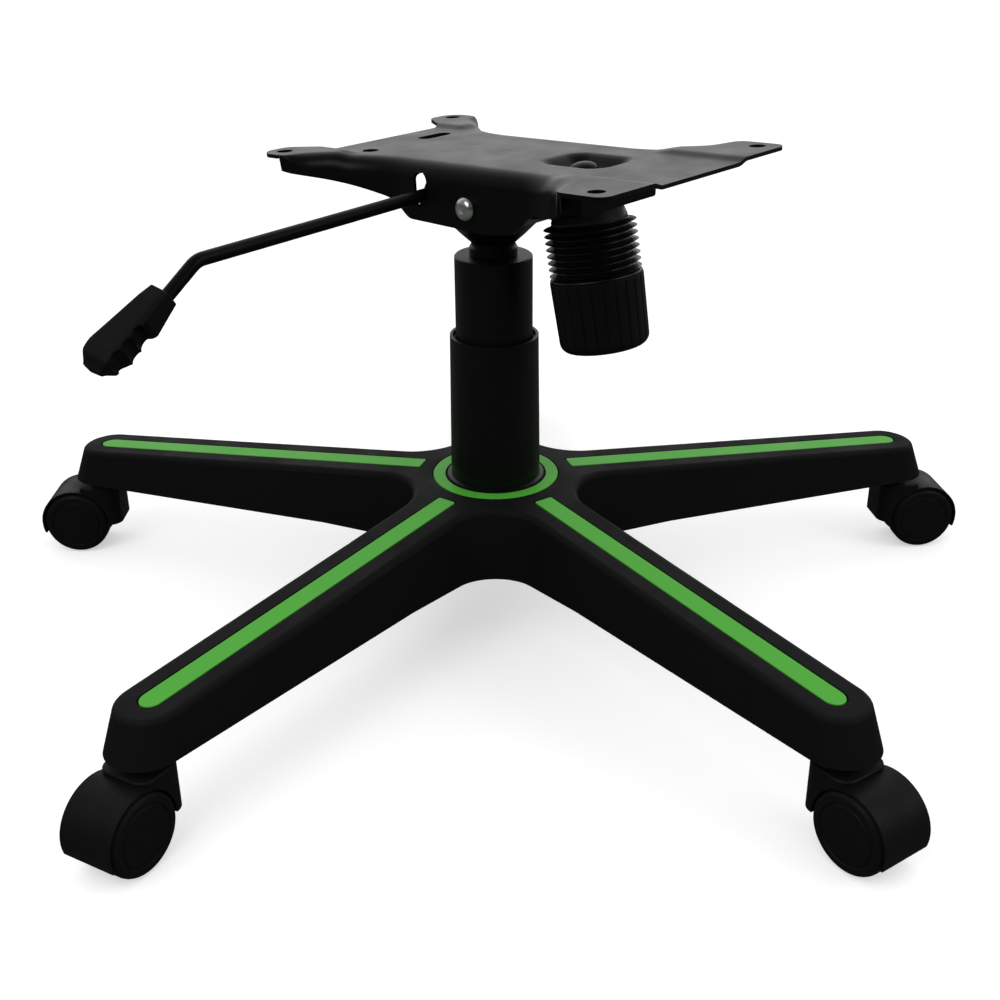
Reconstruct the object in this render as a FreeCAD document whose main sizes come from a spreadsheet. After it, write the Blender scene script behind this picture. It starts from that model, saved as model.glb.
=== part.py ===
import FreeCAD, Part
import math
import os
import Sketcher
from FreeCAD import Placement, Rotation, Vector

# Office chair base: a five star nylon foot on hooded twin wheel casters, a gas lift
# with telescopic covers, and a tilt mechanism with seat plate, lever and tension knob.
# Millimetres. Origin on the floor under the gas lift, +X to the sitter's front,
# +Y to the sitter's left, +Z up. The lift stands at its lowest position.

doc = FreeCAD.newDocument("office_chair_base")
sheet = doc.addObject("Spreadsheet::Sheet", "dims")

driving = [
    # star base
    ("hubTop", 108.3, "hub top face above the floor"),
    ("topFlat", 50.0, "radius where the level hub top ends"),
    ("topSlope", 3.9, "fall of the leg tops, degrees"),
    ("hubBottom", 50.0, "underside of the hub"),
    ("legBottomHub", 57.5, "underside of a leg at the hub"),
    ("legBottomMid", 61.0, "underside of a leg part way out"),
    ("legMidReach", 130.0, "radius of that point"),
    ("legBottomTip", 62.0, "underside of a leg at its tip"),
    ("firstLeg", -12.4, "direction of the first leg, degrees"),
    ("legCount", 5, "number of legs"),
    ("tipLead", 5.0, "how far a stem stands beyond the centre of its tip's rounding"),
    ("tipRadius", 24.0, "half width of a leg at the tip, at its foot"),
    ("hubHalfWidth", 28.0, "half width of a leg at the hub, at its foot"),
    ("hubReach", 62.0, "radius where that width is taken"),
    ("crotchRadius", 30.0, "rounding between two legs, at their foot"),
    ("sideDraft", 7.0, "lean of the leg sides, degrees"),
    ("tipDraft", 21.0, "lean of the tip wall, degrees"),
    ("legWall", 3.4, "wall of the hollow legs"),
    ("legRoof", 4.2, "top wall of the hollow legs"),
    ("topRounding", 4.0, "rounding of the top edges"),
    ("ribThick", 2.6, "ribs under a leg"),
    ("ribPitch", 56.0, "distance between cross ribs"),
    ("hubWall", 7.0, "wall of the hub socket round the column"),
    ("stemRadius", 336.0, "radius of the caster stems from the centre"),
    ("socketWall", 4.6, "wall of a stem socket"),
    ("socketDepth", 23.0, "depth of a stem socket"),
    # green inlays
    ("ringOuter", 45.7, "outer radius of the inlay ring"),
    ("ringInner", 35.2, "inner radius of the inlay ring"),
    ("inlayThick", 1.6, "thickness of the inlays"),
    ("stripStart", 55.2, "radius of a strip's inner end"),
    ("stripShort", 6.0, "how far a strip ends short of the stem"),
    ("stripHalf", 7.9, "half width of a strip"),
    ("coverSeatDepth", 1.9, "recess of the hub top inside the ring"),
    # casters
    ("wheelRadius", 25.2, "wheel radius"),
    ("wheelInner", 7.5, "inner face of a wheel from the middle"),
    ("wheelOuter", 19.8, "outer face of a wheel from the middle"),
    ("wheelRim", 3.6, "tread wall of a wheel"),
    ("wheelDisc", 3.0, "outer disc of a wheel"),
    ("wheelHub", 6.0, "radius of a wheel's hub"),
    ("wheelEdge", 3.4, "rounded edge of the outer disc"),
    ("trail", 20.0, "stem axis to wheel axle"),
    ("axleRadius", 3.0, "axle radius"),
    ("axleHalf", 16.5, "half length of the axle"),
    ("runClearance", 0.05, "running clearance on a radius"),
    ("hoodWall", 1.4, "wall of the hood"),
    ("hoodGap", 0.8, "gap between tread and hood"),
    ("hoodHalf", 18.2, "half width of the hood"),
    ("hoodTop", 55.0, "top of the hood's collar"),
    ("hoodFoot", 17.0, "lowest edge of the hood, on the trailing side"),
    ("hoodHeel", 23.5, "lowest edge of the hood, on the stem's side"),
    ("hoodHeelRun", 14.0, "where the heel starts, ahead of the axle"),
    ("collarHalf", 15.5, "half length of the hood's collar"),
    ("collarCorner", 9.0, "rounding of the collar's corners"),
    ("collarBevel", 0.8, "bevel of the collar's rim"),
    ("webHalf", 6.8, "half thickness of the hood's middle web"),
    ("pinRadius", 5.45, "radius of a caster stem"),
    ("pinFlange", 9.0, "radius of a stem's flange"),
    ("pinFlangeThick", 5.8, "thickness of a stem's flange"),
    ("pinSink", 18.0, "depth of a stem in its hood"),
    # gas lift
    ("columnRadius", 25.0, "outer radius of the column tube"),
    ("columnFoot", 24.0, "radius of the column's tapered foot"),
    ("columnWall", 2.0, "wall of the column tube"),
    ("columnTop", 250.0, "top of the column tube"),
    ("columnBottom", 46.0, "bottom of the column tube"),
    ("floorThick", 3.0, "bottom plate of the column tube"),
    ("gasRadius", 14.0, "radius of the gas tube"),
    ("gasWall", 1.6, "wall of the gas tube"),
    ("gasBottom", 76.0, "bottom of the gas tube"),
    ("gasTop", 299.0, "top of the gas tube"),
    ("gasTaperStart", 270.0, "start of the gas tube's taper"),
    ("gasTaperDrop", 0.7, "radius lost over the taper"),
    ("rodRadius", 5.0, "piston rod radius"),
    ("rodTop", 262.0, "top of the piston rod"),
    ("pistonThick", 12.0, "height of the piston"),
    ("liftTravel", 80.0, "travel of the lift"),
    ("sleeveLength", 92.0, "length of the guide sleeve"),
    ("sleeveGap", 0.08, "running gap round the gas tube"),
    ("raceRadius", 15.0, "radius of the bearing races"),
    ("raceThick", 2.4, "thickness of a bearing race"),
    ("ballRadius", 2.2, "radius of the bearing balls"),
    ("ballCircle", 10.4, "pitch radius of the balls"),
    ("ballCount", 10, "number of balls"),
    ("bumperRadius", 12.0, "radius of the rubber bumper"),
    ("bumperHeight", 12.0, "height of the rubber bumper"),
    ("clipRadius", 9.5, "radius of the retaining clip"),
    ("clipThick", 1.6, "thickness of the retaining clip"),
    ("buttonRadius", 4.8, "radius of the release button"),
    ("buttonTop", 305.0, "top of the release button"),
    ("buttonLength", 15.0, "length of the release button"),
    # telescopic covers
    ("lowerFoot", 34.4, "radius of the lower cover's foot"),
    ("lowerFootHeight", 2.4, "height of the lower cover's foot"),
    ("lowerBottomRadius", 31.75, "radius of the lower cover at its foot"),
    ("lowerTopRadius", 30.6, "radius of the lower cover at its rim"),
    ("lowerTop", 212.9, "rim of the lower cover"),
    ("lowerWall", 2.0, "wall of the lower cover"),
    ("middleRadius", 28.2, "outer radius of the middle cover"),
    ("middleWall", 1.3, "wall of the middle cover"),
    ("middleBottom", 110.0, "bottom of the middle cover"),
    ("middleTop", 210.0, "top of the middle cover"),
    ("upperRadius", 26.45, "outer radius of the upper cover"),
    ("upperWall", 1.05, "wall of the upper cover"),
    ("upperBottom", 118.0, "bottom of the upper cover"),
    ("upperTop", 268.4, "top of the upper cover"),
    ("upperRoof", 1.6, "top wall of the upper cover"),
    # tilt mechanism, lower bracket
    ("socketRadius", 16.2, "radius of the taper socket tube"),
    ("socketFoot", 268.9, "bottom of the taper socket tube"),
    ("cupNeck", 277.5, "height where the cup starts"),
    ("cupRadius", 32.0, "radius of the cup at the bracket"),
    ("bracketHalf", 42.0, "half width of the bracket"),
    ("bracketWall", 3.0, "sheet of the bracket"),
    ("bracketFloor", 296.0, "underside of the bracket at the socket"),
    ("bracketRear", -26.0, "rear end of the bracket"),
    ("bracketFront", 104.0, "front end of the bracket"),
    ("bracketStepX", 38.0, "where the bracket's floor starts to rise"),
    ("bracketRiseX", 56.0, "where the rise meets the front floor"),
    ("bracketRise", 307.43, "underside height there"),
    ("bracketNose", 316.8, "underside height at the front end"),
    ("bracketRearTop", 312.0, "top of the bracket walls at the rear"),
    ("bracketLobe", 326.0, "top of the bracket walls over the lever and pivot"),
    ("bracketCorner", 7.0, "rounding of the bracket's folds"),
    ("bracketGap", 0.5, "gap between bracket and seat plate"),
    # seat plate, in its own level frame
    ("plateCentre", 18.2, "middle of the hole pattern ahead of the lift"),
    ("plateHeight", 340.6, "top of the plate's ears above the floor there"),
    ("platePitch", 2.63, "rise of the plate to the front, degrees"),
    ("plateSheet", 2.5, "sheet of the seat plate"),
    ("holeSpacingX", 261.0, "seat holes front to rear"),
    ("holeSpacingY", 160.0, "seat holes side to side"),
    ("holeRadius", 5.3, "seat hole radius"),
    ("earHalf", 92.0, "half width over the ears"),
    ("waistHalf", 56.0, "half width over the side walls"),
    ("frontEdge", 144.6, "front edge ahead of the pattern's middle"),
    ("rearEdge", 118.0, "rear edge behind the pattern's middle"),
    ("earRear", 142.5, "rear end of the rear ears"),
    ("earJoggle", 2.2, "height of the ears over the main face"),
    ("foldRadius", 7.0, "outer rounding of the folds"),
    ("dimpleX", 61.0, "middle of the dimple ahead of the pattern's middle"),
    ("dimpleLength", 44.0, "dimple front to rear"),
    ("dimpleWidth", 40.0, "dimple side to side"),
    ("dimpleDepth", 8.5, "dimple depth"),
    ("lockHoleX", -90.0, "small hole in the plate, front to rear"),
    ("lockHoleY", -41.0, "small hole in the plate, side to side"),
    ("lockHoleRadius", 5.5, "radius of the small hole"),
    ("ventX", -93.0, "slot in the plate, front to rear"),
    ("ventNear", 14.0, "near end's centre of that slot"),
    ("ventFar", 31.0, "far end's centre of that slot"),
    ("ventHalf", 4.0, "half width of that slot"),
    ("slotWidth", 11.2, "width of the lever slot"),
    ("slotTop", -8.3, "top of the lever slot under the ears"),
    ("slotFoot", -31.0, "bottom of the lever slot under the ears"),
    # pivot
    ("pivotX", 28.6, "pivot ahead of the lift"),
    ("pivotZ", 313.9, "pivot above the floor"),
    ("pivotRadius", 6.0, "radius of the pivot pin"),
    ("pivotHead", 7.6, "radius of the pivot pin's heads"),
    ("pivotHeadHigh", 4.2, "height of a pivot pin head"),
    ("bushRadius", 9.0, "radius of a pivot bush"),
    ("bushFlange", 12.0, "radius of a pivot bush's flange"),
    # lever
    ("leverX", -10.7, "lever ahead of the lift"),
    ("leverZ", 316.4, "lever above the floor at the bracket wall"),
    ("leverRadius", 4.0, "radius of the lever rod"),
    ("leverDroop", 1.4, "fall of the lever's long run, degrees"),
    ("leverInner", 18.0, "inner end of the lever past the middle"),
    ("leverBend", 229.5, "reach of the lever's bend"),
    ("leverDrop", 35.0, "fall of the lever beyond its bend, degrees"),
    ("leverBendRadius", 14.0, "radius of the lever's bend"),
    ("leverTail", 46.0, "length of the lever beyond its bend"),
    ("leverBushRadius", 6.0, "radius of the lever bush"),
    ("leverBushLength", 8.0, "length of the lever bush"),
    ("paddleThick", 3.0, "release paddle under the rod"),
    ("paddleGap", 0.6, "gap between paddle and release button"),
    ("paddleWide", 24.0, "reach of the paddle over the button"),
    ("paddleNear", 10.0, "paddle on the lever's side of the middle"),
    ("gripLength", 64.0, "length of the grip"),
    ("gripWidth", 25.0, "width of the grip"),
    ("gripThick", 21.0, "thickness of the grip"),
    ("gripStart", 21.0, "start of the grip beyond the bend"),
    # tension spring group, along its leaning axis
    ("tensionX", 79.5, "tension axis ahead of the lift, at the bracket"),
    ("tensionZ", 312.3, "height of that point"),
    ("tensionLean", 11.0, "lean of the tension axis, degrees"),
    ("boltRadius", 4.9, "radius of the tension bolt"),
    ("boltHead", 9.8, "radius of the tension bolt's head"),
    ("boltHeadHigh", 3.2, "height of the bolt's head"),
    ("boltLength", 109.3, "length of the tension bolt"),
    ("boltHeadDrop", -25.35, "top of the bolt's head along the axis"),
    ("boltHoleRadius", 11.5, "radius of the bolt hole in the bracket"),
    ("seatRingHigh", 7.4, "height of the upper spring seat"),
    ("seatRingRadius", 22.0, "radius of the upper spring seat"),
    ("ribCount", 8, "ribs of the bellows"),
    ("ribRise", 4.15, "pitch of the bellows' ribs"),
    ("ribRadius", 29.3, "outer radius of the bellows"),
    ("rootRadius", 24.2, "root radius of the bellows"),
    ("bellowsWall", 2.05, "wall of the bellows, measured outwards"),
    ("bellowsFlange", 1.2, "flange at the foot of the bellows"),
    ("springRadius", 18.0, "mean radius of the tension spring"),
    ("springWire", 5.0, "wire of the tension spring"),
    ("springTurns", 5.5, "turns of the tension spring"),
    ("knobRadius", 29.8, "radius of the knob at its rim"),
    ("knobFoot", 28.6, "radius of the knob at its foot"),
    ("knobHeight", 46.0, "height of the knob"),
    ("knobWall", 3.0, "wall of the knob"),
    ("knobFloor", 14.0, "floor of the knob"),
    ("knobFlutes", 18, "flutes round the knob"),
    ("fluteDepth", 0.9, "depth of a flute"),
    ("plateRing", 3.0, "thickness of the lower spring plate"),
    ("nutFlat", 8.5, "half width across the nut's flats"),
    ("nutHigh", 8.0, "height of the nut"),
    ("threadPitch", 1.5, "rise of the knob in one turn"),
]
for row, (alias, value, note) in enumerate(driving, start=1):
    sheet.set("A%d" % row, alias)
    sheet.set("B%d" % row, str(value))
    sheet.set("C%d" % row, note)
    sheet.setAlias("B%d" % row, alias)
doc.recompute()


class Size:
    # a length that carries its value and the sheet expression that gives it
    def __init__(self, value, text):
        self.value = float(value)
        self.text = text

    def join(self, other, sign, value):
        return Size(value, "(%s %s %s)" % (self.text, sign, other.text))

    def __add__(self, other):
        other = asSize(other)
        return self.join(other, "+", self.value + other.value)

    def __sub__(self, other):
        other = asSize(other)
        return self.join(other, "-", self.value - other.value)

    def __mul__(self, other):
        other = asSize(other)
        return self.join(other, "*", self.value * other.value)

    def __neg__(self):
        return Size(-self.value, "(-%s)" % self.text)

    def __float__(self):
        return self.value


def asSize(value):
    if isinstance(value, Size):
        return value
    return Size(value, repr(float(value)))


class Sizes:
    def __getattr__(self, alias):
        return Size(sheet.get(alias), "dims." + alias)


d = Sizes()
parts = []


def val(alias):
    return float(sheet.get(alias))


def keep(feature, label):
    # names a finished sub-part and lists it for export
    feature.Label = label
    parts.append(feature)
    return feature


def originPlane(body, role):
    for feature in body.Origin.OriginFeatures:
        if feature.Role == role:
            return feature


def profile(body, role, points):
    # closed outline whose corners are bound to the sheet
    sketch = body.newObject("Sketcher::SketchObject", body.Name + "_outline")
    sketch.AttachmentSupport = [(originPlane(body, role), "")]
    sketch.MapMode = "FlatFace"
    count = len(points)
    corners = [Vector(float(x), float(y), 0) for x, y in points]
    for i in range(count):
        sketch.addGeometry(Part.LineSegment(corners[i], corners[(i + 1) % count]), False)
    for i in range(count):
        sketch.addConstraint(Sketcher.Constraint("Coincident", i, 2, (i + 1) % count, 1))
    for i, (x, y) in enumerate(points):
        for kind, axis, size in (("DistanceX", -2, x), ("DistanceY", -1, y)):
            if not isinstance(size, Size) and size == 0:
                sketch.addConstraint(Sketcher.Constraint("PointOnObject", i, 1, axis))
                continue
            size = asSize(size)
            sketch.addConstraint(Sketcher.Constraint(kind, -1, 1, i, 1, size.value))
            sketch.setExpression("Constraints[%d]" % (sketch.ConstraintCount - 1), size.text)
    return sketch


def turned(label, points, place=None):
    # a turned or round moulded piece: its half section spun about Z
    body = doc.addObject("PartDesign::Body", label)
    sketch = profile(body, "XZ_Plane", points)
    spin = body.newObject("PartDesign::Revolution", label + "_spin")
    spin.Profile = sketch
    spin.ReferenceAxis = (sketch, ["V_Axis"])
    spin.Angle = 360
    body.Tip = spin
    if place:
        body.Placement = place
    return keep(body, label)


def made(label, shape, place=None):
    # a piece whose form is worked out here from the sheet's sizes
    feature = doc.addObject("Part::Feature", label)
    feature.Shape = shape
    if place:
        feature.Placement = place
    return keep(feature, label)


def prism(points, low, high):
    wire = Part.makePolygon([Vector(x, y, low) for x, y in points + points[:1]])
    return Part.Face(wire).extrude(Vector(0, 0, high - low))


def sidePrism(points, half):
    # outline in X and Z carried across from -half to half
    wire = Part.makePolygon([Vector(x, -half, z) for x, z in points + points[:1]])
    return Part.Face(wire).extrude(Vector(0, 2 * half, 0))


def spun(points):
    wire = Part.makePolygon([Vector(r, 0, z) for r, z in points + points[:1]])
    return Part.Face(wire).revolve(Vector(0, 0, 0), Vector(0, 0, 1), 360)


def cylinder(radius, start, end):
    axis = end - start
    return Part.makeCylinder(radius, axis.Length, start, axis)


def roundedOutline(corners, z):
    # corners are (x, y, radius); straight runs joined by tangent arcs
    count = len(corners)
    trims = []
    for i, (x, y, radius) in enumerate(corners):
        here = Vector(x, y, z)
        back = Vector(*corners[i - 1][:2], z) - here
        ahead = Vector(*corners[(i + 1) % count][:2], z) - here
        back.normalize()
        ahead.normalize()
        if radius == 0:
            trims.append((here, None, here))
            continue
        half = back.getAngle(ahead) / 2
        reach = radius / math.tan(half)
        middle = back + ahead
        middle.normalize()
        centre = here + middle * (radius / math.sin(half))
        trims.append((here + back * reach, centre - middle * radius, here + ahead * reach))
    edges = []
    for i, (enter, mid, leave) in enumerate(trims):
        if mid:
            edges.append(Part.Arc(enter, mid, leave).toShape())
        following = trims[(i + 1) % count][0]
        if (following - leave).Length > 1e-6:
            edges.append(Part.LineSegment(leave, following).toShape())
    return Part.Wire(edges)


def turnedAbout(shape, degrees):
    copy = shape.copy()
    copy.rotate(Vector(0, 0, 0), Vector(0, 0, 1), degrees)
    return copy


legTurn = 360.0 / val("legCount")
legCount = int(val("legCount"))
legAngles = [val("firstLeg") + legTurn * i for i in range(legCount)]
slope = math.tan(math.radians(val("topSlope")))


def topHeight(radius):
    # height of the star's top surface at a radius
    return val("hubTop") - max(0.0, radius - val("topFlat")) * slope


def tipCentre():
    # centre of a leg tip's rounding, at its foot
    return val("stemRadius") - val("tipLead")


def starOutline(z, inset):
    # plan of the star at height z, drawn in by the draft of its walls
    rise = z - val("legBottomHub")
    side = rise * math.tan(math.radians(val("sideDraft"))) + inset
    tipLoss = rise * math.tan(math.radians(val("tipDraft"))) + inset
    tipHalf = val("tipRadius") - side
    hubHalf = val("hubHalfWidth") - side
    end = tipCentre() + val("tipRadius") - tipLoss
    tipAt = end - tipHalf
    crotch = val("crotchRadius") + side
    corners = []
    for angle in legAngles:
        # the two sides of a leg, and where each meets its neighbour's side
        a = math.radians(angle)
        along = Vector(math.cos(a), math.sin(a), 0)
        across = Vector(-math.sin(a), math.cos(a), 0)
        low = along * end - across * tipHalf
        high = along * end + across * tipHalf
        corners.append((low.x, low.y, tipHalf * 0.999))
        corners.append((high.x, high.y, tipHalf * 0.999))
        taper = (hubHalf - tipHalf) / (tipAt - val("hubReach"))
        halfTurn = math.radians(legTurn / 2)
        # the side line half = hubHalf - taper * (r - hubReach) meets the bisector
        meet = (hubHalf + taper * val("hubReach")) / (math.tan(halfTurn) + taper)
        joint = along * meet + across * (meet * math.tan(halfTurn))
        corners.append((joint.x, joint.y, crotch))
    return roundedOutline(corners, z)


def starBody(low, high, inset):
    return Part.makeLoft([starOutline(low, inset), starOutline(high, inset)], True, True)


def makeStarBase():
    # hollow moulding: drafted star cut to its sloping top and rising underside
    reach = tipCentre() + val("tipRadius") + 5
    low = val("hubBottom") - 2
    high = val("hubTop") + 2
    outer = starBody(low, high, 0)
    edge = topHeight(reach)
    envelope = spun([
        (0, val("legBottomHub")), (val("hubReach"), val("legBottomHub")),
        (val("legMidReach"), val("legBottomMid")), (reach, val("legBottomTip")), (reach, edge),
        (val("topFlat"), val("hubTop")), (0, val("hubTop"))])
    body = outer.common(envelope)
    topEdges = [e for e in body.Edges if isTopEdge(e)]
    body = body.makeFillet(val("topRounding"), topEdges)
    inner = starBody(low, high, val("legWall"))
    roof = val("legRoof")
    hollow = inner.common(spun([
        (0, low), (reach, low), (reach, edge - roof),
        (val("topFlat"), val("hubTop") - roof), (0, val("hubTop") - roof)]))
    body = body.cut(hollow)
    # hub socket, stem sockets and ribs stay inside the hollow
    socket = val("columnRadius") + val("hubWall")
    fillings = [Part.makeCylinder(socket, val("hubTop") - roof / 2 - low, Vector(0, 0, low))]
    thick = val("ribThick")
    boss = val("pinRadius") + val("socketWall")
    for angle in legAngles:
        stem = Vector(val("stemRadius"), 0, low)
        parts_ = [Part.makeCylinder(boss, high - low, stem)]
        start = socket - 0.6 * val("hubWall")
        length = val("stemRadius") - start
        parts_.append(Part.makeBox(length, thick, high - low, Vector(start, -thick / 2, low)))
        at = socket + val("ribPitch")
        while at < val("stemRadius") - boss * 1.5:
            wide = 2 * val("hubHalfWidth")
            parts_.append(Part.makeBox(thick, wide, high - low, Vector(at, -wide / 2, low)))
            at += val("ribPitch")
        for piece in parts_:
            fillings.append(turnedAbout(piece, angle))
    ribFoot = spun([
        (0, val("hubBottom")), (socket, val("hubBottom")),
        (socket + 10, val("legBottomHub") + 4), (val("stemRadius") - 2 * boss, val("legBottomTip") + 4),
        (val("stemRadius") - boss, val("legBottomTip") - 1), (reach, val("legBottomTip") - 1),
        (reach, edge - roof / 2), (val("topFlat"), val("hubTop") - roof / 2), (0, val("hubTop") - roof / 2)])
    inside = starBody(low, high, val("legWall") / 2).common(ribFoot)
    hubPost = fillings[0].common(ribFoot)
    ribs = fillings[1].multiFuse(fillings[2:]).common(inside)
    body = body.multiFuse([hubPost, ribs])
    cuts = [columnTaper(0)]
    seat = val("hubTop") - val("coverSeatDepth")
    cuts.append(Part.makeCylinder(val("ringInner") - 0.8, 20, Vector(0, 0, seat)))
    cuts.append(ringSolid())
    for angle in legAngles:
        cuts.append(stripSolid(angle))
        bore = Vector(val("stemRadius"), 0, val("legBottomTip") - 5)
        deep = val("socketDepth") + 5
        hole = Part.makeCylinder(val("pinRadius") + val("runClearance"), deep, bore)
        cuts.append(turnedAbout(hole, angle))
    body = body.cut(cuts[0].multiFuse(cuts[1:]))
    return body.removeSplitter()


def isTopEdge(edge):
    # edges between the top surface and the side walls
    for u in (0.1, 0.5, 0.9):
        point = edge.valueAt(edge.FirstParameter + u * (edge.LastParameter - edge.FirstParameter))
        radius = math.hypot(point.x, point.y)
        if abs(point.z - topHeight(radius)) > 0.05 or radius < val("ringOuter") + 1:
            return False
    face = [point for point in edge.Vertexes]
    radii = [math.hypot(v.X, v.Y) for v in face]
    flat = val("topFlat")
    return not all(abs(r - flat) < 0.01 for r in radii)


def columnTaper(gap):
    # the column's outside inside the hub: a slim cone under the straight tube
    return spun([
        (0, val("columnBottom") - 5), (val("columnFoot") + gap, val("columnBottom") - 5),
        (val("columnFoot") + gap, val("columnBottom")),
        (val("columnRadius") + gap, val("hubTop")), (val("columnRadius") + gap, val("hubTop") + 20),
        (0, val("hubTop") + 20)])


def ringSolid():
    low = val("hubTop") - val("inlayThick")
    outer = Part.makeCylinder(val("ringOuter"), val("inlayThick"), Vector(0, 0, low))
    return outer.cut(Part.makeCylinder(val("ringInner"), val("inlayThick"), Vector(0, 0, low)))


def stripSolid(angle):
    # flat strip let into a leg top, round at its outer end
    half, start, end = val("stripHalf"), val("stripStart"), val("stemRadius") - val("stripShort")
    small, large = 1.5, half * 0.999
    plan = roundedOutline([
        (start, -half, small), (end, -half, large), (end, half, large), (start, half, small)], 0)
    prismShape = Part.Face(plan).extrude(Vector(0, 0, val("hubTop") + 10))
    near, far = start - 2, end + 2
    thick = val("inlayThick")
    layer = sidePrism([
        (near, topHeight(near) - thick), (far, topHeight(far) - thick),
        (far, topHeight(far)), (near, topHeight(near))], 2 * half)
    return turnedAbout(prismShape.common(layer), angle)


def buildStar():
    made("star_base", makeStarBase())
    turned("inlay_ring", [
        (d.ringInner, d.hubTop - d.inlayThick), (d.ringOuter, d.hubTop - d.inlayThick),
        (d.ringOuter, d.hubTop), (d.ringInner, d.hubTop)])
    for i, angle in enumerate(legAngles):
        made("inlay_strip_%d" % (i + 1), stripSolid(angle))


def buildGasLift():
    wall = d.columnWall
    turned("gas_column", [
        (d.rodRadius + 0.6, d.columnBottom), (d.columnFoot, d.columnBottom),
        (d.columnRadius, d.hubTop), (d.columnRadius, d.columnTop),
        (d.columnRadius - wall, d.columnTop), (d.columnRadius - wall, d.hubTop),
        (d.columnFoot - wall, d.columnBottom + d.floorThick),
        (d.rodRadius + 0.6, d.columnBottom + d.floorThick)])
    bore = d.gasRadius + d.sleeveGap
    turned("guide_sleeve", [
        (bore, d.columnTop - d.sleeveLength), (d.columnRadius - wall, d.columnTop - d.sleeveLength),
        (d.columnRadius - wall, d.columnTop), (d.columnRadius - 0.6, d.columnTop),
        (d.columnRadius - 0.6, d.columnTop + 2.5), (bore, d.columnTop + 2.5)])
    floor = d.columnBottom + d.floorThick
    hole = d.rodRadius + 0.1
    race = spun([
        (val("rodRadius") + 0.6, float(floor)), (val("raceRadius"), float(floor)),
        (val("raceRadius"), float(floor + d.raceThick)), (val("rodRadius") + 0.6, float(floor + d.raceThick))])
    balls = [race]
    ballZ = floor + d.raceThick + d.ballRadius
    for i in range(int(val("ballCount"))):
        a = 2 * math.pi * i / val("ballCount")
        at = Vector(val("ballCircle") * math.cos(a), val("ballCircle") * math.sin(a), float(ballZ))
        balls.append(Part.makeSphere(val("ballRadius"), at))
    made("thrust_bearing", Part.makeCompound(balls))
    upper = ballZ + d.ballRadius
    turned("bearing_washer", [
        (hole, upper), (d.raceRadius, upper),
        (d.raceRadius, upper + d.raceThick), (hole, upper + d.raceThick)])
    bumper = upper + d.raceThick
    turned("rubber_bumper", [
        (hole, bumper), (d.bumperRadius, bumper), (d.bumperRadius, bumper + d.bumperHeight * 0.6),
        (d.bumperRadius - 2.5, bumper + d.bumperHeight), (hole, bumper + d.bumperHeight)])
    pistonRadius = d.gasRadius - d.gasWall - 0.1
    groove = d.rodRadius - 0.9
    clipTop = d.columnBottom - 0.2
    turned("piston_rod", [
        (0, d.columnBottom - 4.4), (d.rodRadius, d.columnBottom - 4.4),
        (d.rodRadius, d.columnBottom - 0.25 - d.clipThick), (groove, d.columnBottom - 0.25 - d.clipThick),
        (groove, d.columnBottom - 0.15), (d.rodRadius, d.columnBottom - 0.15),
        (d.rodRadius, d.rodTop - d.pistonThick), (pistonRadius, d.rodTop - d.pistonThick),
        (pistonRadius, d.rodTop), (0, d.rodTop)])
    turned("retaining_clip", [
        (groove + 0.05, clipTop - d.clipThick), (d.clipRadius, clipTop - d.clipThick),
        (d.clipRadius, clipTop), (groove + 0.05, clipTop)])
    taperTop = d.gasRadius - d.gasTaperDrop
    turned("gas_tube", [
        (d.gasRadius - d.gasWall, d.gasBottom), (d.gasRadius, d.gasBottom), (d.gasRadius, d.gasTaperStart),
        (taperTop, d.gasTop), (d.buttonRadius + 0.1, d.gasTop), (d.buttonRadius + 0.1, d.gasTaperStart + 8),
        (d.gasRadius - d.gasWall, d.gasTaperStart + 4)])
    gland = d.gasRadius - d.gasWall
    turned("rod_gland", [
        (d.rodRadius + 0.08, d.gasBottom), (gland, d.gasBottom),
        (gland, d.gasBottom + 14), (d.rodRadius + 0.08, d.gasBottom + 14)])
    turned("release_button", [
        (0, d.buttonTop - d.buttonLength), (d.buttonRadius, d.buttonTop - d.buttonLength),
        (d.buttonRadius, d.buttonTop - 0.8), (d.buttonRadius - 0.8, d.buttonTop), (0, d.buttonTop)])


def buildCovers():
    seat = d.hubTop - d.coverSeatDepth
    lip = seat + d.lowerFootHeight
    grip = d.columnRadius + 0.02
    wall = d.lowerWall
    turned("lower_cover", [
        (grip, seat), (d.lowerFoot, seat), (d.lowerFoot, lip), (d.lowerBottomRadius, lip + 0.8),
        (d.lowerTopRadius, d.lowerTop), (d.lowerTopRadius - wall, d.lowerTop),
        (d.lowerBottomRadius - wall, lip + 0.8), (grip, lip)])
    turned("middle_cover", [
        (d.middleRadius - d.middleWall, d.middleBottom), (d.middleRadius, d.middleBottom),
        (d.middleRadius, d.middleTop), (d.middleRadius - d.middleWall, d.middleTop)])
    inner = d.upperRadius - d.upperWall
    hole = d.gasRadius + 0.02
    turned("upper_cover", [
        (inner, d.upperBottom), (d.upperRadius, d.upperBottom), (d.upperRadius, d.upperTop - 0.8),
        (d.upperRadius - 0.8, d.upperTop), (hole, d.upperTop), (hole, d.upperTop - d.upperRoof),
        (inner, d.upperTop - d.upperRoof)])


def gasOutside(z):
    share = (z - val("gasTaperStart")) / (val("gasTop") - val("gasTaperStart"))
    return val("gasRadius") - val("gasTaperDrop") * max(0.0, share)


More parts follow.
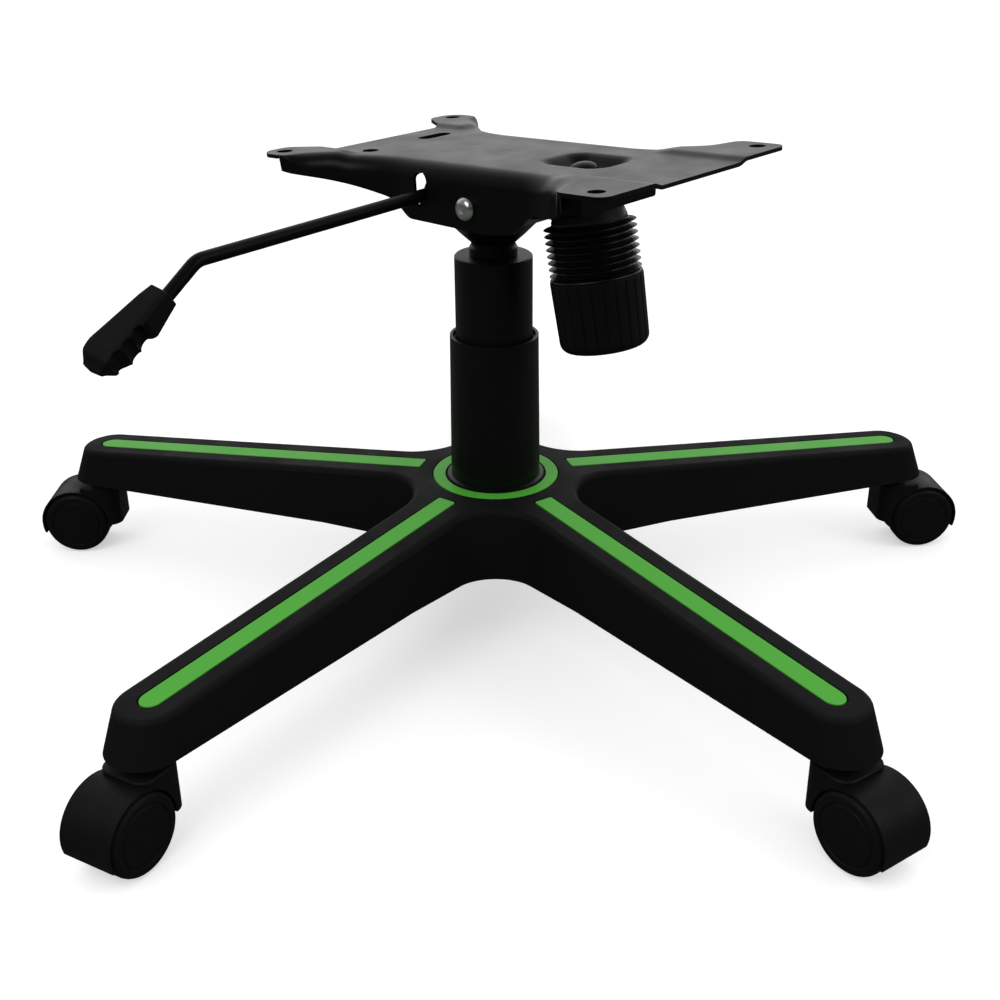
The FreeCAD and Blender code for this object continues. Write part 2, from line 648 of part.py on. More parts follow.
def buildSocket():
    # tube with a taper bore, and the flared cup that carries the bracket
    start = d.gasTaperStart
    taperTop = d.gasRadius - d.gasTaperDrop
    under = d.bracketFloor
    slim = d.socketRadius - 1.3
    turned("taper_socket", [
        (d.gasRadius, d.socketFoot), (d.socketRadius, d.socketFoot),
        (d.socketRadius, d.cupNeck - 3.5), (slim, d.cupNeck - 1.5), (slim, d.cupNeck),
        (d.cupRadius - 10, under - 12), (d.cupRadius, under - 2), (d.cupRadius, under),
        (d.cupRadius - 3, under), (d.cupRadius - 12.5, under - 9.5), (slim + 0.6, d.cupNeck + 3),
        (slim + 0.6, d.gasTop - 1), (taperTop, d.gasTop - 1), (d.gasRadius, start)])


def bracketFloorAt(x):
    # underside of the bracket: level at the socket, then a step up and a sloping nose
    line = [(val("bracketRear"), val("bracketFloor")), (val("bracketStepX"), val("bracketFloor")),
            (val("bracketRiseX"), val("bracketRise")), (val("bracketFront"), val("bracketNose"))]
    for (x0, z0), (x1, z1) in zip(line, line[1:]):
        if x <= x1:
            return z0 + (z1 - z0) * (x - x0) / (x1 - x0)
    return line[-1][1]


def plateUnderside(x):
    # world height of the main face's underside at x
    rise = math.tan(math.radians(val("platePitch")))
    return val("plateHeight") + (x - val("plateCentre")) * rise - val("earJoggle") - val("plateSheet")


def makeBracket():
    # folded channel: outer prism less inner prism, with rounded folds
    rear, front, t = val("bracketRear"), val("bracketFront"), val("bracketWall")
    half = val("bracketHalf")
    top = [(front, plateUnderside(front) - val("bracketGap")), (54, plateUnderside(54) - val("bracketGap")),
           (val("pivotX") + 10, val("bracketLobe") + 1), (val("pivotX") - 12, val("bracketLobe") + 1),
           (val("leverX") + 7, val("bracketLobe")), (val("leverX") - 7, val("bracketLobe") - 1.5),
           (rear + 4, val("bracketRearTop") + 4), (rear, val("bracketRearTop"))]
    xs = [rear, val("bracketStepX"), val("bracketRiseX"), front]
    outline = [(x, bracketFloorAt(x)) for x in xs] + top
    outer = sidePrism(outline, half)
    low = [e for e in outer.Edges if isFloorEdge(e, half)]
    outer = outer.makeFillet(val("bracketCorner"), low)
    inside = [(rear - 5, bracketFloorAt(rear) + t), (val("bracketStepX") - 1, bracketFloorAt(rear) + t),
              (val("bracketRiseX") - 1, val("bracketRise") + t), (front - t, val("bracketNose") + t),
              (front - t, val("plateHeight") + 30), (rear - 5, val("plateHeight") + 30)]
    inner = sidePrism(inside, half - t)
    low = [e for e in inner.Edges if isFloorEdge(e, half - t)]
    inner = inner.makeFillet(val("bracketCorner") - t, low)
    body = outer.cut(inner)
    axle = Vector(val("pivotX"), -half - 5, val("pivotZ"))
    cuts = [cylinder(val("bushRadius"), axle, axle + Vector(0, 2 * half + 10, 0))]
    leverAt = Vector(val("leverX"), -half - 5, val("leverZ"))
    cuts.append(cylinder(val("leverBushRadius") + 0.3, leverAt, leverAt + Vector(0, 15, 0)))
    cuts.append(Part.makeCylinder(val("gasRadius") + 2.4, 20, Vector(0, 0, val("bracketFloor") - 5)))
    hole = Part.makeCylinder(val("boltHoleRadius"), 24, Vector(0, 0, -12))
    hole.Placement = tensionPlace(0)
    cuts.append(hole)
    # notch in the front wall for the plate's dimple
    wide = val("dimpleWidth") + 12
    low = plateUnderside(front) - 4.5
    cuts.append(Part.makeBox(3 * t, wide, 20, Vector(front - 2 * t, -wide / 2, low)))
    return body.cut(cuts[0].multiFuse(cuts[1:]))


def isFloorEdge(edge, half):
    # long fold edges along the channel's underside, and the upright front corners
    a, b = edge.Vertexes[0].Point, edge.Vertexes[-1].Point
    onSide = abs(abs(a.y) - half) < 0.01 and abs(a.y - b.y) < 0.01
    if not onSide:
        return False
    front = val("bracketFront")
    upright = abs(a.x - b.x) < 0.01 and a.x > front - val("bracketWall") - 1
    near = val("bracketWall") + 1.5
    return upright or all(abs(p.z - bracketFloorAt(p.x)) < near for p in (a, b)) and abs(a.x - b.x) > 1


def tensionPlace(drop):
    # frame of the tension axis; drop runs down the axis from the bracket's underside
    turn = Rotation(Vector(0, 1, 0), -val("tensionLean"))
    down = turn.multVec(Vector(0, 0, -1))
    at = Vector(val("tensionX"), 0, val("tensionZ")) + down * drop
    return Placement(at, turn)


def platePlace():
    turn = Rotation(Vector(0, 1, 0), -val("platePitch"))
    return Placement(Vector(val("plateCentre"), 0, val("plateHeight")), turn)


def plateCorners(inset):
    # half plan of the seat plate, front to rear, mirrored to a whole outline
    ear, waist = val("earHalf") - inset, val("waistHalf") - inset
    front, rear, tail = val("frontEdge") - inset, val("rearEdge") - inset, val("earRear") - inset
    half = [
        (front, ear, 8 - inset), (112, ear, 10 - inset), (80, waist, 60 + inset),
        (-78, waist, 80 + inset), (-116, ear, 14 - inset), (-tail, ear, 12 - inset),
        (-tail, 68 + inset, 11 - inset), (-rear, 52 + inset * 0.4, 7 + inset)]
    mirror = [(x, -y, r) for x, y, r in reversed(half)]
    return half + mirror


def makeSeatPlate():
    # pressed sheet: drawn tray with folded side walls, raised ears and a dimple
    t, step = val("plateSheet"), val("earJoggle")
    deep = 60
    outer = Part.Face(roundedOutline(plateCorners(0), -deep)).extrude(Vector(0, 0, deep - step))
    fold = val("foldRadius")
    outer = outer.makeFillet(fold, [e for e in outer.Edges if isRim(e, -step)])
    inner = Part.Face(roundedOutline(plateCorners(t), -deep)).extrude(Vector(0, 0, deep - step - t))
    inner = inner.makeFillet(fold - t, [e for e in inner.Edges if isRim(e, -step - t)])
    tray = outer.cut(inner)
    # side view of the walls, front to rear, then closed over the top
    wallFront, wallRear = 111, -121
    side = [
        (wallFront, -14), (89, -22.7), (60, -27), (53.4, -32.7), (47.5, -38.8), (24.3, -41.7), (-42.8, -39.2),
        (-47.2, -34), (-55.9, -27.2), (-68.7, -24.1), (wallRear, -15.2), (wallRear, -step - t),
        (-200, -step - t), (-200, 20), (200, 20), (200, -step - t), (wallFront, -step - t)]
    tray = tray.common(sidePrism(side, 120))
    wide, under = 2 * val("waistHalf"), -deep - step - t
    rearCut = Part.makeBox(200, wide, deep, Vector(-292, -wide / 2, under))
    frontCut = Part.makeBox(200, wide + 48, deep, Vector(100, -wide / 2 - 24, under))
    tray = tray.cut(rearCut.fuse(frontCut))
    # ears: a raised sheet over the corners, joined by a short ramp
    plan = Part.Face(roundedOutline(plateCorners(0), -deep)).extrude(Vector(0, 0, 2 * deep))
    ramp = 5
    ears = []
    for x0, x1, y in ((84, 160, 40), (-160, -92, 50)):
        for sign in (1, -1):
            section = [(y, -step), (y + ramp, 0), (110, 0), (110, -t), (y + ramp, -t), (y, -step - t)]
            wire = Part.makePolygon([Vector(x0, sign * a, b) for a, b in section + section[:1]])
            ears.append(Part.Face(wire).extrude(Vector(x1 - x0, 0, 0)).common(plan))
    body = tray.cut(earPocket(step, t)).multiFuse(ears)
    # dimple pressed down for the bolt head
    depth = val("dimpleDepth")
    pan = frustum(val("dimpleLength") + 2 * t, val("dimpleWidth") + 2 * t, -step, depth + t)
    pocket = frustum(val("dimpleLength"), val("dimpleWidth"), -step, depth)
    body = body.fuse(pan).cut(pocket)
    cuts = []
    for sx in (1, -1):
        for sy in (1, -1):
            at = Vector(sx * val("holeSpacingX") / 2, sy * val("holeSpacingY") / 2, -20)
            cuts.append(Part.makeCylinder(val("holeRadius"), 40, at))
    low, through = -15, 30
    small = Vector(val("lockHoleX"), val("lockHoleY"), low)
    cuts.append(Part.makeCylinder(val("lockHoleRadius"), through, small))
    ventX, ventHalf, ventNear = val("ventX"), val("ventHalf"), val("ventNear")
    for y in (ventNear, val("ventFar")):
        cuts.append(Part.makeCylinder(ventHalf, through, Vector(ventX, y, low)))
    ventRun = val("ventFar") - ventNear
    cuts.append(Part.makeBox(2 * ventHalf, ventRun, through, Vector(ventX - ventHalf, ventNear, low)))
    back = platePlace().inverse()
    pivot = back.multVec(Vector(val("pivotX"), 0, val("pivotZ")))
    wide = val("waistHalf") + 10
    cuts.append(cylinder(val("pivotRadius") + 0.02, pivot + Vector(0, -wide, 0), pivot + Vector(0, wide, 0)))
    lever = back.multVec(Vector(val("leverX"), 0, val("leverZ")))
    half = val("slotWidth") / 2
    high, foot = val("slotTop") - half, val("slotFoot") + half
    for z in (high, foot):
        cuts.append(cylinder(half, Vector(lever.x, -wide, z), Vector(lever.x, -wide + 20, z)))
    cuts.append(Part.makeBox(2 * half, 20, high - foot, Vector(lever.x - half, -wide, foot)))
    boltHole = Part.makeCylinder(val("boltRadius") + 0.05, 60, Vector(0, 0, -30))
    boltHole.Placement = back.multiply(tensionPlace(-25))
    cuts.append(boltHole)
    return body.cut(cuts[0].multiFuse(cuts[1:]))


def earPocket(step, t):
    # room under the ears, so that each ear is one sheet thick inside its folded rim
    rim, deep = 6, step + t + 5
    plan = Part.Face(roundedOutline(plateCorners(rim), -deep)).extrude(Vector(0, 0, deep - t))
    wide, reach = val("earHalf") + 10, 60
    inside, beyond = [], []
    for start, end, clear, y in ((86, 160, 111.5, 46), (-160, -94, -121.5, 56)):
        for sign in (1, -1):
            low = y if sign > 0 else -wide
            corner = Vector(start, low, -deep)
            inside.append(Part.makeBox(end - start, wide - y, deep - t, corner))
            first, last = (clear, end) if clear > 0 else (start, clear)
            corner = Vector(first, low, -deep)
            beyond.append(Part.makeBox(last - first, wide - y, deep - t, corner))
    return plan.common(inside[0].multiFuse(inside[1:])).multiFuse(beyond)


def isRim(edge, z):
    return all(abs(v.Z - z) < 0.01 for v in edge.Vertexes)


def frustum(length, width, top, depth):
    # pan with sloping sides, centred on the dimple
    x = val("dimpleX")
    lean = depth * 0.7
    wires = []
    for z, loss in ((top, 0), (top - depth, lean)):
        a, b = length / 2 - loss, width / 2 - loss
        wires.append(roundedOutline([(x + a, b, 6), (x + a, -b, 6), (x - a, -b, 6), (x - a, b, 6)], z))
    return Part.makeLoft(wires, True, True)


def buildMechanism():
    buildSocket()
    made("tilt_bracket", makeBracket())
    made("seat_plate", makeSeatPlate(), platePlace())
    across = Rotation(Vector(1, 0, 0), 90)
    axle = Vector(val("pivotX"), 0, val("pivotZ"))
    half = d.waistHalf + 0.3
    head = half + d.pivotHeadHigh
    turned("pivot_pin", [
        (0, -head), (d.pivotHead - 2.2, -head), (d.pivotHead - 0.4, -head + 1.6), (d.pivotHead, -half),
        (d.pivotRadius, -half), (d.pivotRadius, half), (d.pivotHead, half), (d.pivotHead - 0.4, head - 1.6),
        (d.pivotHead - 2.2, head), (0, head)], Placement(axle, across))
    inside = d.waistHalf - d.plateSheet - 0.4
    outside = d.bracketHalf
    bore = d.pivotRadius + d.runClearance
    bush = spun([(float(r), float(z)) for r, z in (
        (bore, outside - d.bracketWall - 1), (d.bushRadius, outside - d.bracketWall - 1),
        (d.bushRadius, outside), (d.bushFlange, outside), (d.bushFlange, outside + 2),
        (d.bushRadius, outside + 2), (d.bushRadius, inside), (bore, inside))])
    made("pivot_bushes", Part.makeCompound([bush, bush.mirror(Vector(0, 0, 0), Vector(0, 0, 1))]),
         Placement(axle, across))


def leverPoint(reach):
    # height of the long run's axis at a reach to the sitter's right
    fall = math.tan(math.radians(val("leverDroop")))
    return Vector(val("leverX"), -reach, val("leverZ") - (reach - val("bracketHalf")) * fall)


def leverCorners():
    inner = leverPoint(-val("leverInner"))
    bend = leverPoint(val("leverBend"))
    drop = math.radians(val("leverDrop"))
    end = bend + Vector(0, -math.cos(drop), -math.sin(drop)) * val("leverTail")
    return inner, bend, end


def makeLeverRod():
    # steel rod with one round bend, and the flat paddle welded under its inner end
    inner, bend, end = leverCorners()
    back = inner - bend
    ahead = end - bend
    back.normalize()
    ahead.normalize()
    halfAngle = back.getAngle(ahead) / 2
    radius = val("leverBendRadius")
    reach = radius / math.tan(halfAngle)
    middle = back + ahead
    middle.normalize()
    mid = bend + middle * (radius / math.sin(halfAngle) - radius)
    path = Part.Wire([
        Part.LineSegment(inner, bend + back * reach).toShape(),
        Part.Arc(bend + back * reach, mid, bend + ahead * reach).toShape(),
        Part.LineSegment(bend + ahead * reach, end).toShape()])
    section = Part.Wire(Part.makeCircle(val("leverRadius"), inner, inner - bend))
    rod = path.makePipeShell([section], True, False)
    low, thick, near = val("buttonTop") + val("paddleGap"), val("paddleThick"), -val("paddleNear")
    long = val("leverInner") + val("paddleNear")
    outer = val("leverX") - val("leverRadius")
    paddle = Part.makeBox(val("paddleWide"), long, thick, Vector(outer, near, low))
    paddle = paddle.makeFillet(3, [e for e in paddle.Edges if abs(e.Vertexes[0].Z - e.Vertexes[-1].Z) > 1])
    web = Part.makeBox(thick, long - 6, val("leverZ") - low, Vector(val("leverX") - thick / 2, near + 3, low))
    return rod.multiFuse([paddle, web])


def gripPlace():
    # frame of the grip: X along the rod away from the bend, Z out of its top face
    inner, bend, end = leverCorners()
    along = end - bend
    along.normalize()
    across = Vector(1, 0, 0)
    up = along.cross(across) * -1
    turn = Rotation(along, up.cross(along), up, "ZXY")
    return Placement(bend + along * val("gripStart"), turn)


def makeGrip():
    # handle with a flat top, chamfered sides, a round end and finger grooves below
    length, wide, thick = val("gripLength"), val("gripWidth") / 2, val("gripThick")
    top, foot = 8.5, 8.5 - thick
    side = [(0, top), (length - 10, top - 1.5), (length - 2, top - 6), (length, top - 12),
            (length - 5, foot + 3), (length - 16, foot), (24, foot + 1), (14, foot + 5), (0, foot + 9)]
    body = sidePrism(side, wide)
    narrow = [
        (-5, 10.5, 0), (-5, -10.5, 0), (18, -wide, 20), (length, -wide, 9), (length, wide, 9), (18, wide, 20)]
    plan = Part.Face(roundedOutline(narrow, foot - 5)).extrude(Vector(0, 0, thick + 20))
    body = body.common(plan)
    chamfer = [(-wide - 1, top + 4), (wide + 1, top + 4), (wide + 1, top - 5), (wide - 6, top + 0.5),
               (-wide + 6, top + 0.5), (-wide - 1, top - 5)]
    wire = Part.makePolygon([Vector(-10, y, z) for y, z in chamfer + chamfer[:1]])
    body = body.cut(Part.Face(wire).extrude(Vector(length + 20, 0, 0)))
    pitch = 10.5
    for i in range(3):
        at = 27 + pitch * i
        groove = cylinder(4.6, Vector(at, -wide - 5, foot - 1.2), Vector(at, wide + 5, foot - 1.2))
        body = body.cut(groove)
    depth = val("leverTail") - val("gripStart")
    return body.cut(cylinder(val("leverRadius"), Vector(-10, 0, 0), Vector(depth, 0, 0)))


def buildLever():
    made("lever_rod", makeLeverRod())
    made("lever_grip", makeGrip(), gripPlace())
    across = Rotation(Vector(1, 0, 0), 90 + val("leverDroop"))
    middle = leverPoint(val("bracketHalf") - val("bracketWall") / 2)
    half = d.leverBushLength * 0.5
    bore = d.leverRadius + d.runClearance
    turned("lever_bush", [
        (bore, -half), (d.leverBushRadius - 0.9, -half), (d.leverBushRadius, half * -0.35),
        (d.leverBushRadius, half * 0.35), (d.leverBushRadius - 0.9, half), (bore, half)],
        Placement(middle, across))


def bellowsSection():
    # half section of the boot: sharp outer ribs, rounded roots, one even wall
    count = int(val("ribCount"))
    rise, wall, thick = d.ribRise, d.bellowsWall, d.bellowsFlange
    outside = []
    for i in range(count):
        outside.append((d.rootRadius, rise * float(-i)))
        outside.append((d.ribRadius, rise * (-i - 0.42)))
        outside.append((d.ribRadius, rise * (-i - 0.58)))
    end = rise * float(-count)
    outside.append((d.rootRadius, end))
    inside = [(radius - wall, height) for radius, height in reversed(outside)]
    foot = [(d.ribRadius, end), (d.ribRadius, end - thick), (d.rootRadius - wall, end - thick)]
    return outside + foot + inside, end - thick


def makeSpring(length):
    helix = Part.makeHelix(length / val("springTurns"), length, val("springRadius"))
    wire = val("springWire") / 2
    section = Part.Wire(Part.makeCircle(wire, Vector(val("springRadius"), 0, 0), Vector(0, 1, 0.1)))
    return Part.Wire(helix.Edges).makePipeShell([section], True, True)


def makeKnob():
    # cup with fine flutes, a slight taper, a rounded foot and a hexagon pocket
    high, wall, floor = val("knobHeight"), val("knobWall"), val("knobFloor")
    rim, foot = val("knobRadius"), val("knobFoot")
    body = spun([
        (0, -high), (foot - 7, -high), (foot - 3.2, -high + 1.0), (foot - 0.8, -high + 3.6), (foot, -high + 7),
        (rim, 0), (rim - wall, 0), (foot - wall, -high + floor), (0, -high + floor)])
    count = int(val("knobFlutes"))
    small = 2.2
    flutes = []
    for i in range(count):
        a = 2 * math.pi * i / count
        reach = small - val("fluteDepth")
        low = Vector((foot + reach) * math.cos(a), (foot + reach) * math.sin(a), -high - 1)
        top = Vector((rim + reach) * math.cos(a), (rim + reach) * math.sin(a), -3)
        flutes.append(cylinder(small, low, top))
    body = body.cut(flutes[0].multiFuse(flutes[1:]))
    through = Part.makeCylinder(val("boltRadius") + 0.3, high, Vector(0, 0, -high + 2))
    return body.cut(through.fuse(nutShape(-high + floor - val("nutHigh"))))


def nutShape(low):
    corner = val("nutFlat") / math.cos(math.radians(30))
    points = []
    for i in range(6):
        a = math.radians(60 * i)
        points.append((corner * math.cos(a), corner * math.sin(a)))
    return prism(points, low, low + val("nutHigh"))


def buildTension():
    seatHigh = val("seatRingHigh") + 0.6
    section, end = bellowsSection()
    turned("spring_seat", [
        (d.boltHoleRadius, -d.seatRingHigh), (d.seatRingRadius + 2, -d.seatRingHigh),
        (d.seatRingRadius + 2, -d.seatRingHigh + 1.5), (d.seatRingRadius, 0), (d.boltHoleRadius, 0)],
        tensionPlace(0.35))
    turned("tension_bellows", section, tensionPlace(seatHigh))
    knobAt = seatHigh - float(end) + 0.3
    floorAt = knobAt + val("knobHeight") - val("knobFloor")
    made("tension_knob", makeKnob(), tensionPlace(knobAt))
    nutLow = -val("knobHeight") + val("knobFloor") - val("nutHigh")
    nut = nutShape(nutLow).cut(Part.makeCylinder(val("boltRadius") + 0.05, 100, Vector(0, 0, -60)))
    made("knob_nut", nut, tensionPlace(knobAt))
    plate = d.plateRing
    turned("spring_plate", [
        (d.boltRadius + 0.1, 0), (d.springRadius + 4, 0), (d.springRadius + 4, plate),
        (d.boltRadius + 0.1, plate)], tensionPlace(floorAt - 0.05))
    springTop = seatHigh + val("springWire") / 2
    springFoot = floorAt - val("plateRing") - val("springWire") / 2 - 0.3
    made("tension_spring", makeSpring(springFoot - springTop), tensionPlace(springFoot))
    turned("tension_bolt", [
        (0, 0), (d.boltHead - 2, 0), (d.boltHead, -d.boltHeadHigh * 0.4), (d.boltHead, -d.boltHeadHigh),
        (d.boltRadius, -d.boltHeadHigh), (d.boltRadius, -d.boltLength + 1), (d.boltRadius - 1, -d.boltLength),
        (0, -d.boltLength)], tensionPlace(val("boltHeadDrop")))


casterTurn = {0: -0.6, 1: -11.0, 2: 4.0, 3: 18.0, 4: 6.9}


def collarOutline(inset, z):
    # rounded rectangle round the stem, as wide as the hood
    a, b = val("collarHalf") - inset, val("hoodHalf") - inset
    corner = val("collarCorner") - inset
    return roundedOutline([(a, b, corner), (a, -b, corner), (-a, -b, corner), (-a, b, corner)], z)


def collarBlock(low, high, inset):
    return Part.Face(collarOutline(inset, low)).extrude(Vector(0, 0, high - low))


def collarRim(top, bevel):
    return Part.makeLoft([collarOutline(0, top - bevel), collarOutline(bevel, top)], True, True)


def makeHood():
    # stem axis at the origin, axle at +trail along X, Z from the floor
    axle, radius = val("wheelRadius"), val("wheelRadius") + val("hoodGap") + val("hoodWall")
    half, trail = val("hoodHalf"), val("trail")
    at = Vector(trail, 0, axle)
    drum = cylinder(radius, at + Vector(0, -half, 0), at + Vector(0, half, 0))
    low, heel, top, bevel = val("hoodFoot"), val("hoodHeel"), val("hoodTop"), val("collarBevel")
    body = drum.multiFuse([collarBlock(0, top - bevel, 0), collarRim(top, bevel)])
    # underside: low behind the wheels, higher under the stem
    wide, knee = 3 * half, trail + radius / 2
    body = body.cut(sidePrism([
        (-wide, -wide), (2 * wide, -wide), (2 * wide, low), (knee, low), (trail - val("hoodHeelRun"), heel),
        (-wide, heel)], 2 * wide))
    cavity = val("wheelRadius") + val("hoodGap")
    web = val("webHalf")
    for side in (-1, 1):
        start = at + Vector(0, side * web, 0)
        body = body.cut(cylinder(cavity, start, start + Vector(0, side * 40, 0)))
    boss = val("wheelHub") + 1
    body = body.fuse(cylinder(boss, at + Vector(0, -web, 0), at + Vector(0, web, 0)))
    reach = Vector(0, web + 1, 0)
    bore = Part.makeCylinder(val("pinRadius"), 60, Vector(0, 0, val("hoodTop") - val("pinSink")))
    body = body.cut(bore.fuse(cylinder(val("axleRadius"), at - reach, at + reach)))
    return body.removeSplitter()


def buildCasters():
    hood = makeHood()
    for i, angle in enumerate(legAngles):
        number = i + 1
        a = math.radians(angle)
        stem = Vector(val("stemRadius") * math.cos(a), val("stemRadius") * math.sin(a), 0)
        place = Placement(stem, Rotation(Vector(0, 0, 1), angle + casterTurn[i]))
        top = d.hoodTop
        collar = top + d.pinFlangeThick
        reach = d.legBottomTip + d.socketDepth - 0.5
        turned("caster_stem_%d" % number, [
            (0, top - d.pinSink), (d.pinRadius, top - d.pinSink), (d.pinRadius, top), (d.pinFlange, top),
            (d.pinFlange, collar), (d.pinRadius, collar), (d.pinRadius, reach - 8), (d.pinRadius - 1, reach - 7),
            (d.pinRadius - 1, reach - 5), (d.pinRadius, reach - 4), (d.pinRadius, reach - 2),
            (d.pinRadius - 2, reach), (0, reach)], place)
        made("caster_hood_%d" % number, hood.copy(), place)
        axleAt = place.multVec(Vector(val("trail"), 0, val("wheelRadius")))
        for name, tilt in (("left", -90), ("right", 90)):
            spin = Rotation(Vector(0, 0, 1), angle + casterTurn[i]).multiply(Rotation(Vector(1, 0, 0), tilt))
            buildWheel("wheel_%s_%d" % (name, number), Placement(axleAt, spin))
        spin = Rotation(Vector(0, 0, 1), angle + casterTurn[i]).multiply(Rotation(Vector(1, 0, 0), 90))
        turned("caster_axle_%d" % number, [
            (0, -d.axleHalf), (d.axleRadius, -d.axleHalf), (d.axleRadius, d.axleHalf), (0, d.axleHalf)],
            Placement(axleAt, spin))


def buildWheel(label, place):
    # cup shaped wheel: tread, outer disc with a rounded edge and a ring groove, hub
    r, face, edge = d.wheelRadius, d.wheelOuter, d.wheelEdge
    inner, disc = r - d.wheelRim, face - d.wheelDisc
    bore = d.axleRadius + d.runClearance
    groove, flat = r * 0.73, r * 0.81
    turned(label, [
        (bore, d.wheelInner), (d.wheelHub, d.wheelInner), (d.wheelHub, disc), (inner, disc),
        (inner, d.wheelInner), (r - 0.6, d.wheelInner), (r, d.wheelInner + 0.6), (r, face - edge * 1.2),
        (r - edge * 0.18, face - edge * 0.62), (r - edge * 0.55, face - edge * 0.25), (flat, face),
        (groove + 0.5, face), (groove + 0.4, face - 0.5),
        (groove - 0.4, face - 0.5), (groove - 0.5, face), (0, face), (0, d.axleHalf + 0.3),
        (bore, d.axleHalf + 0.3)], place)


buildStar()
buildGasLift()
buildCovers()
buildMechanism()
buildLever()
buildTension()
buildCasters()
doc.recompute()

for feature in doc.Objects:
    if "Invalid" in feature.State or "Error" in feature.State:
        raise RuntimeError("%s failed: %s" % (feature.Label, feature.State))
for feature in parts:
    if feature.Shape.isNull() or not feature.Shape.isValid():
        raise RuntimeError("%s has no valid shape" % feature.Label)
    solids = len(feature.Shape.Solids)
    print("%-20s solids %2d  volume %.0f" % (feature.Label, solids, feature.Shape.Volume))

os.makedirs("parts", exist_ok=True)
for feature in parts:
    feature.Shape.exportStep("parts/%s.step" % feature.Label)
print(len(parts), "parts written")
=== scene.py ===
import math

import bmesh
import bpy
import numpy as np
from mathutils import Matrix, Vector
from mathutils.geometry import delaunay_2d_cdt


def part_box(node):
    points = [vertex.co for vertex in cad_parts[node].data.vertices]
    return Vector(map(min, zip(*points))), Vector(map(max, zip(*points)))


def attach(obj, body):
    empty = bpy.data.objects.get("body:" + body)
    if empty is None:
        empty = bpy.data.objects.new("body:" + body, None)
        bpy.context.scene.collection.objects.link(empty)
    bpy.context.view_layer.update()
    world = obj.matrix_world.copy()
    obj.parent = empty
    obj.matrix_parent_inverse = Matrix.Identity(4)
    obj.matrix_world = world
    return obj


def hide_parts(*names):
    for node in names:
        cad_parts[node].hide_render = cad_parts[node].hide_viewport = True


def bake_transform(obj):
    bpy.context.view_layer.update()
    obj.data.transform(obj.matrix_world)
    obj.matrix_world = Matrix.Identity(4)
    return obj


# Office chair base in a plain bright studio: black nylon star with green inlays, hooded
# twin wheel casters, gas lift covers and the tilt mechanism. Blender works in metres.

mm = 0.001
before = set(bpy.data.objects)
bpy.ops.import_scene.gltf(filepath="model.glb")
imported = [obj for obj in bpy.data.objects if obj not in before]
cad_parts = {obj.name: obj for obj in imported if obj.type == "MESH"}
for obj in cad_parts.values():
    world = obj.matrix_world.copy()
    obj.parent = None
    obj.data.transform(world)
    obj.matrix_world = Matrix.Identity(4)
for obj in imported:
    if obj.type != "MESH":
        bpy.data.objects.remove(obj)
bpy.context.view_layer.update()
scene = bpy.context.scene
print("frame loaded with", len(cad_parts), "solids")


# points closer than these millimetres are one, and faces closer than the angle in degrees lie flat
merging = {"points": 0.004, "slivers": 0.002, "copied": 0.005, "flatAngle": 0.4}


def linearOf(hexColour):
    # sRGB to linear: x / 12.92 up to 0.04045, and ((x + 0.055) / 1.055) to the power 2.4 above
    level = np.array([int(hexColour[i:i + 2], 16) for i in (1, 3, 5)]) / 255
    level = np.where(level <= 0.04045, level / 12.92, ((level + 0.055) / 1.055) ** 2.4)
    return (*level.tolist(), 1.0)


def addNode(tree, kind, sockets=None, **settings):
    # one node: settings are its own properties, sockets hold values or the outputs to link
    node = tree.nodes.new(kind)
    for name, value in settings.items():
        setattr(node, name, value)
    for name, value in (sockets or {}).items():
        if isinstance(value, bpy.types.NodeSocket):
            tree.links.new(value, node.inputs[name])
        else:
            node.inputs[name].default_value = value
    return node


def ease(value, low, high):
    # smooth step: t squared times (3 - 2 t), t running from 0 at low to 1 at high
    t = np.clip((value - low) / (high - low), 0, 1)
    return t * t * (3 - 2 * t)


def filleted(corners, closed, steps=7):
    # a corner of radius r turns into an arc that leaves both its sides at r / tan(half angle)
    corners = np.asarray(corners, float)
    pieces = []
    for i, radius in enumerate(corners[:, 2]):
        here = corners[i, :2]
        atEnd = not closed and i in (0, len(corners) - 1)
        if atEnd or radius <= 0:
            pieces.append(here[None])
            continue
        before = corners[i - 1, :2] - here
        after = corners[(i + 1) % len(corners), :2] - here
        before, after = before / np.linalg.norm(before), after / np.linalg.norm(after)
        half = np.arccos(np.clip(before @ after, -1, 1)) / 2
        middle = (before + after) / np.linalg.norm(before + after)
        centre = here + middle * radius / np.sin(half)
        start = here + before * radius / np.tan(half) - centre
        end = here + after * radius / np.tan(half) - centre
        sweep = np.pi - 2 * half
        t = np.linspace(0, 1, steps)[:, None]
        arc = np.sin((1 - t) * sweep) * start + np.sin(t * sweep) * end
        pieces.append(centre + arc / np.sin(sweep))
    return np.vstack(pieces)


def evenly(points, count, closed):
    # points at equal steps of the length run along a line of points
    if closed:
        points = np.vstack([points, points[:1]])
    run = np.concatenate([[0], np.cumsum(np.linalg.norm(np.diff(points, axis=0), axis=1))])
    at = np.linspace(0, run[-1], count, endpoint=not closed)
    return np.stack([np.interp(at, run, points[:, k]) for k in range(points.shape[1])], -1)


def placeOf(origin, xAxis, yAxis, zAxis):
    # four by four place from an origin in mm and three unit axes
    place = np.eye(4)
    place[:3, 0], place[:3, 1], place[:3, 2], place[:3, 3] = xAxis, yAxis, zAxis, origin
    return place


def carried(points, place):
    # rotation times the point plus the origin
    return points @ place[:3, :3].T + place[:3, 3]


def turnedGrid(profile, turns, place):
    # a profile of radius and height carried once round its axis: (r cos a, r sin a, h)
    profile = np.asarray(profile, float)
    angle = np.linspace(0, 2 * np.pi, turns, endpoint=False)
    r, h = profile[:, :1], profile[:, 1:2]
    points = np.stack([r * np.cos(angle), r * np.sin(angle), h + 0 * angle], -1)
    return carried(points, place)


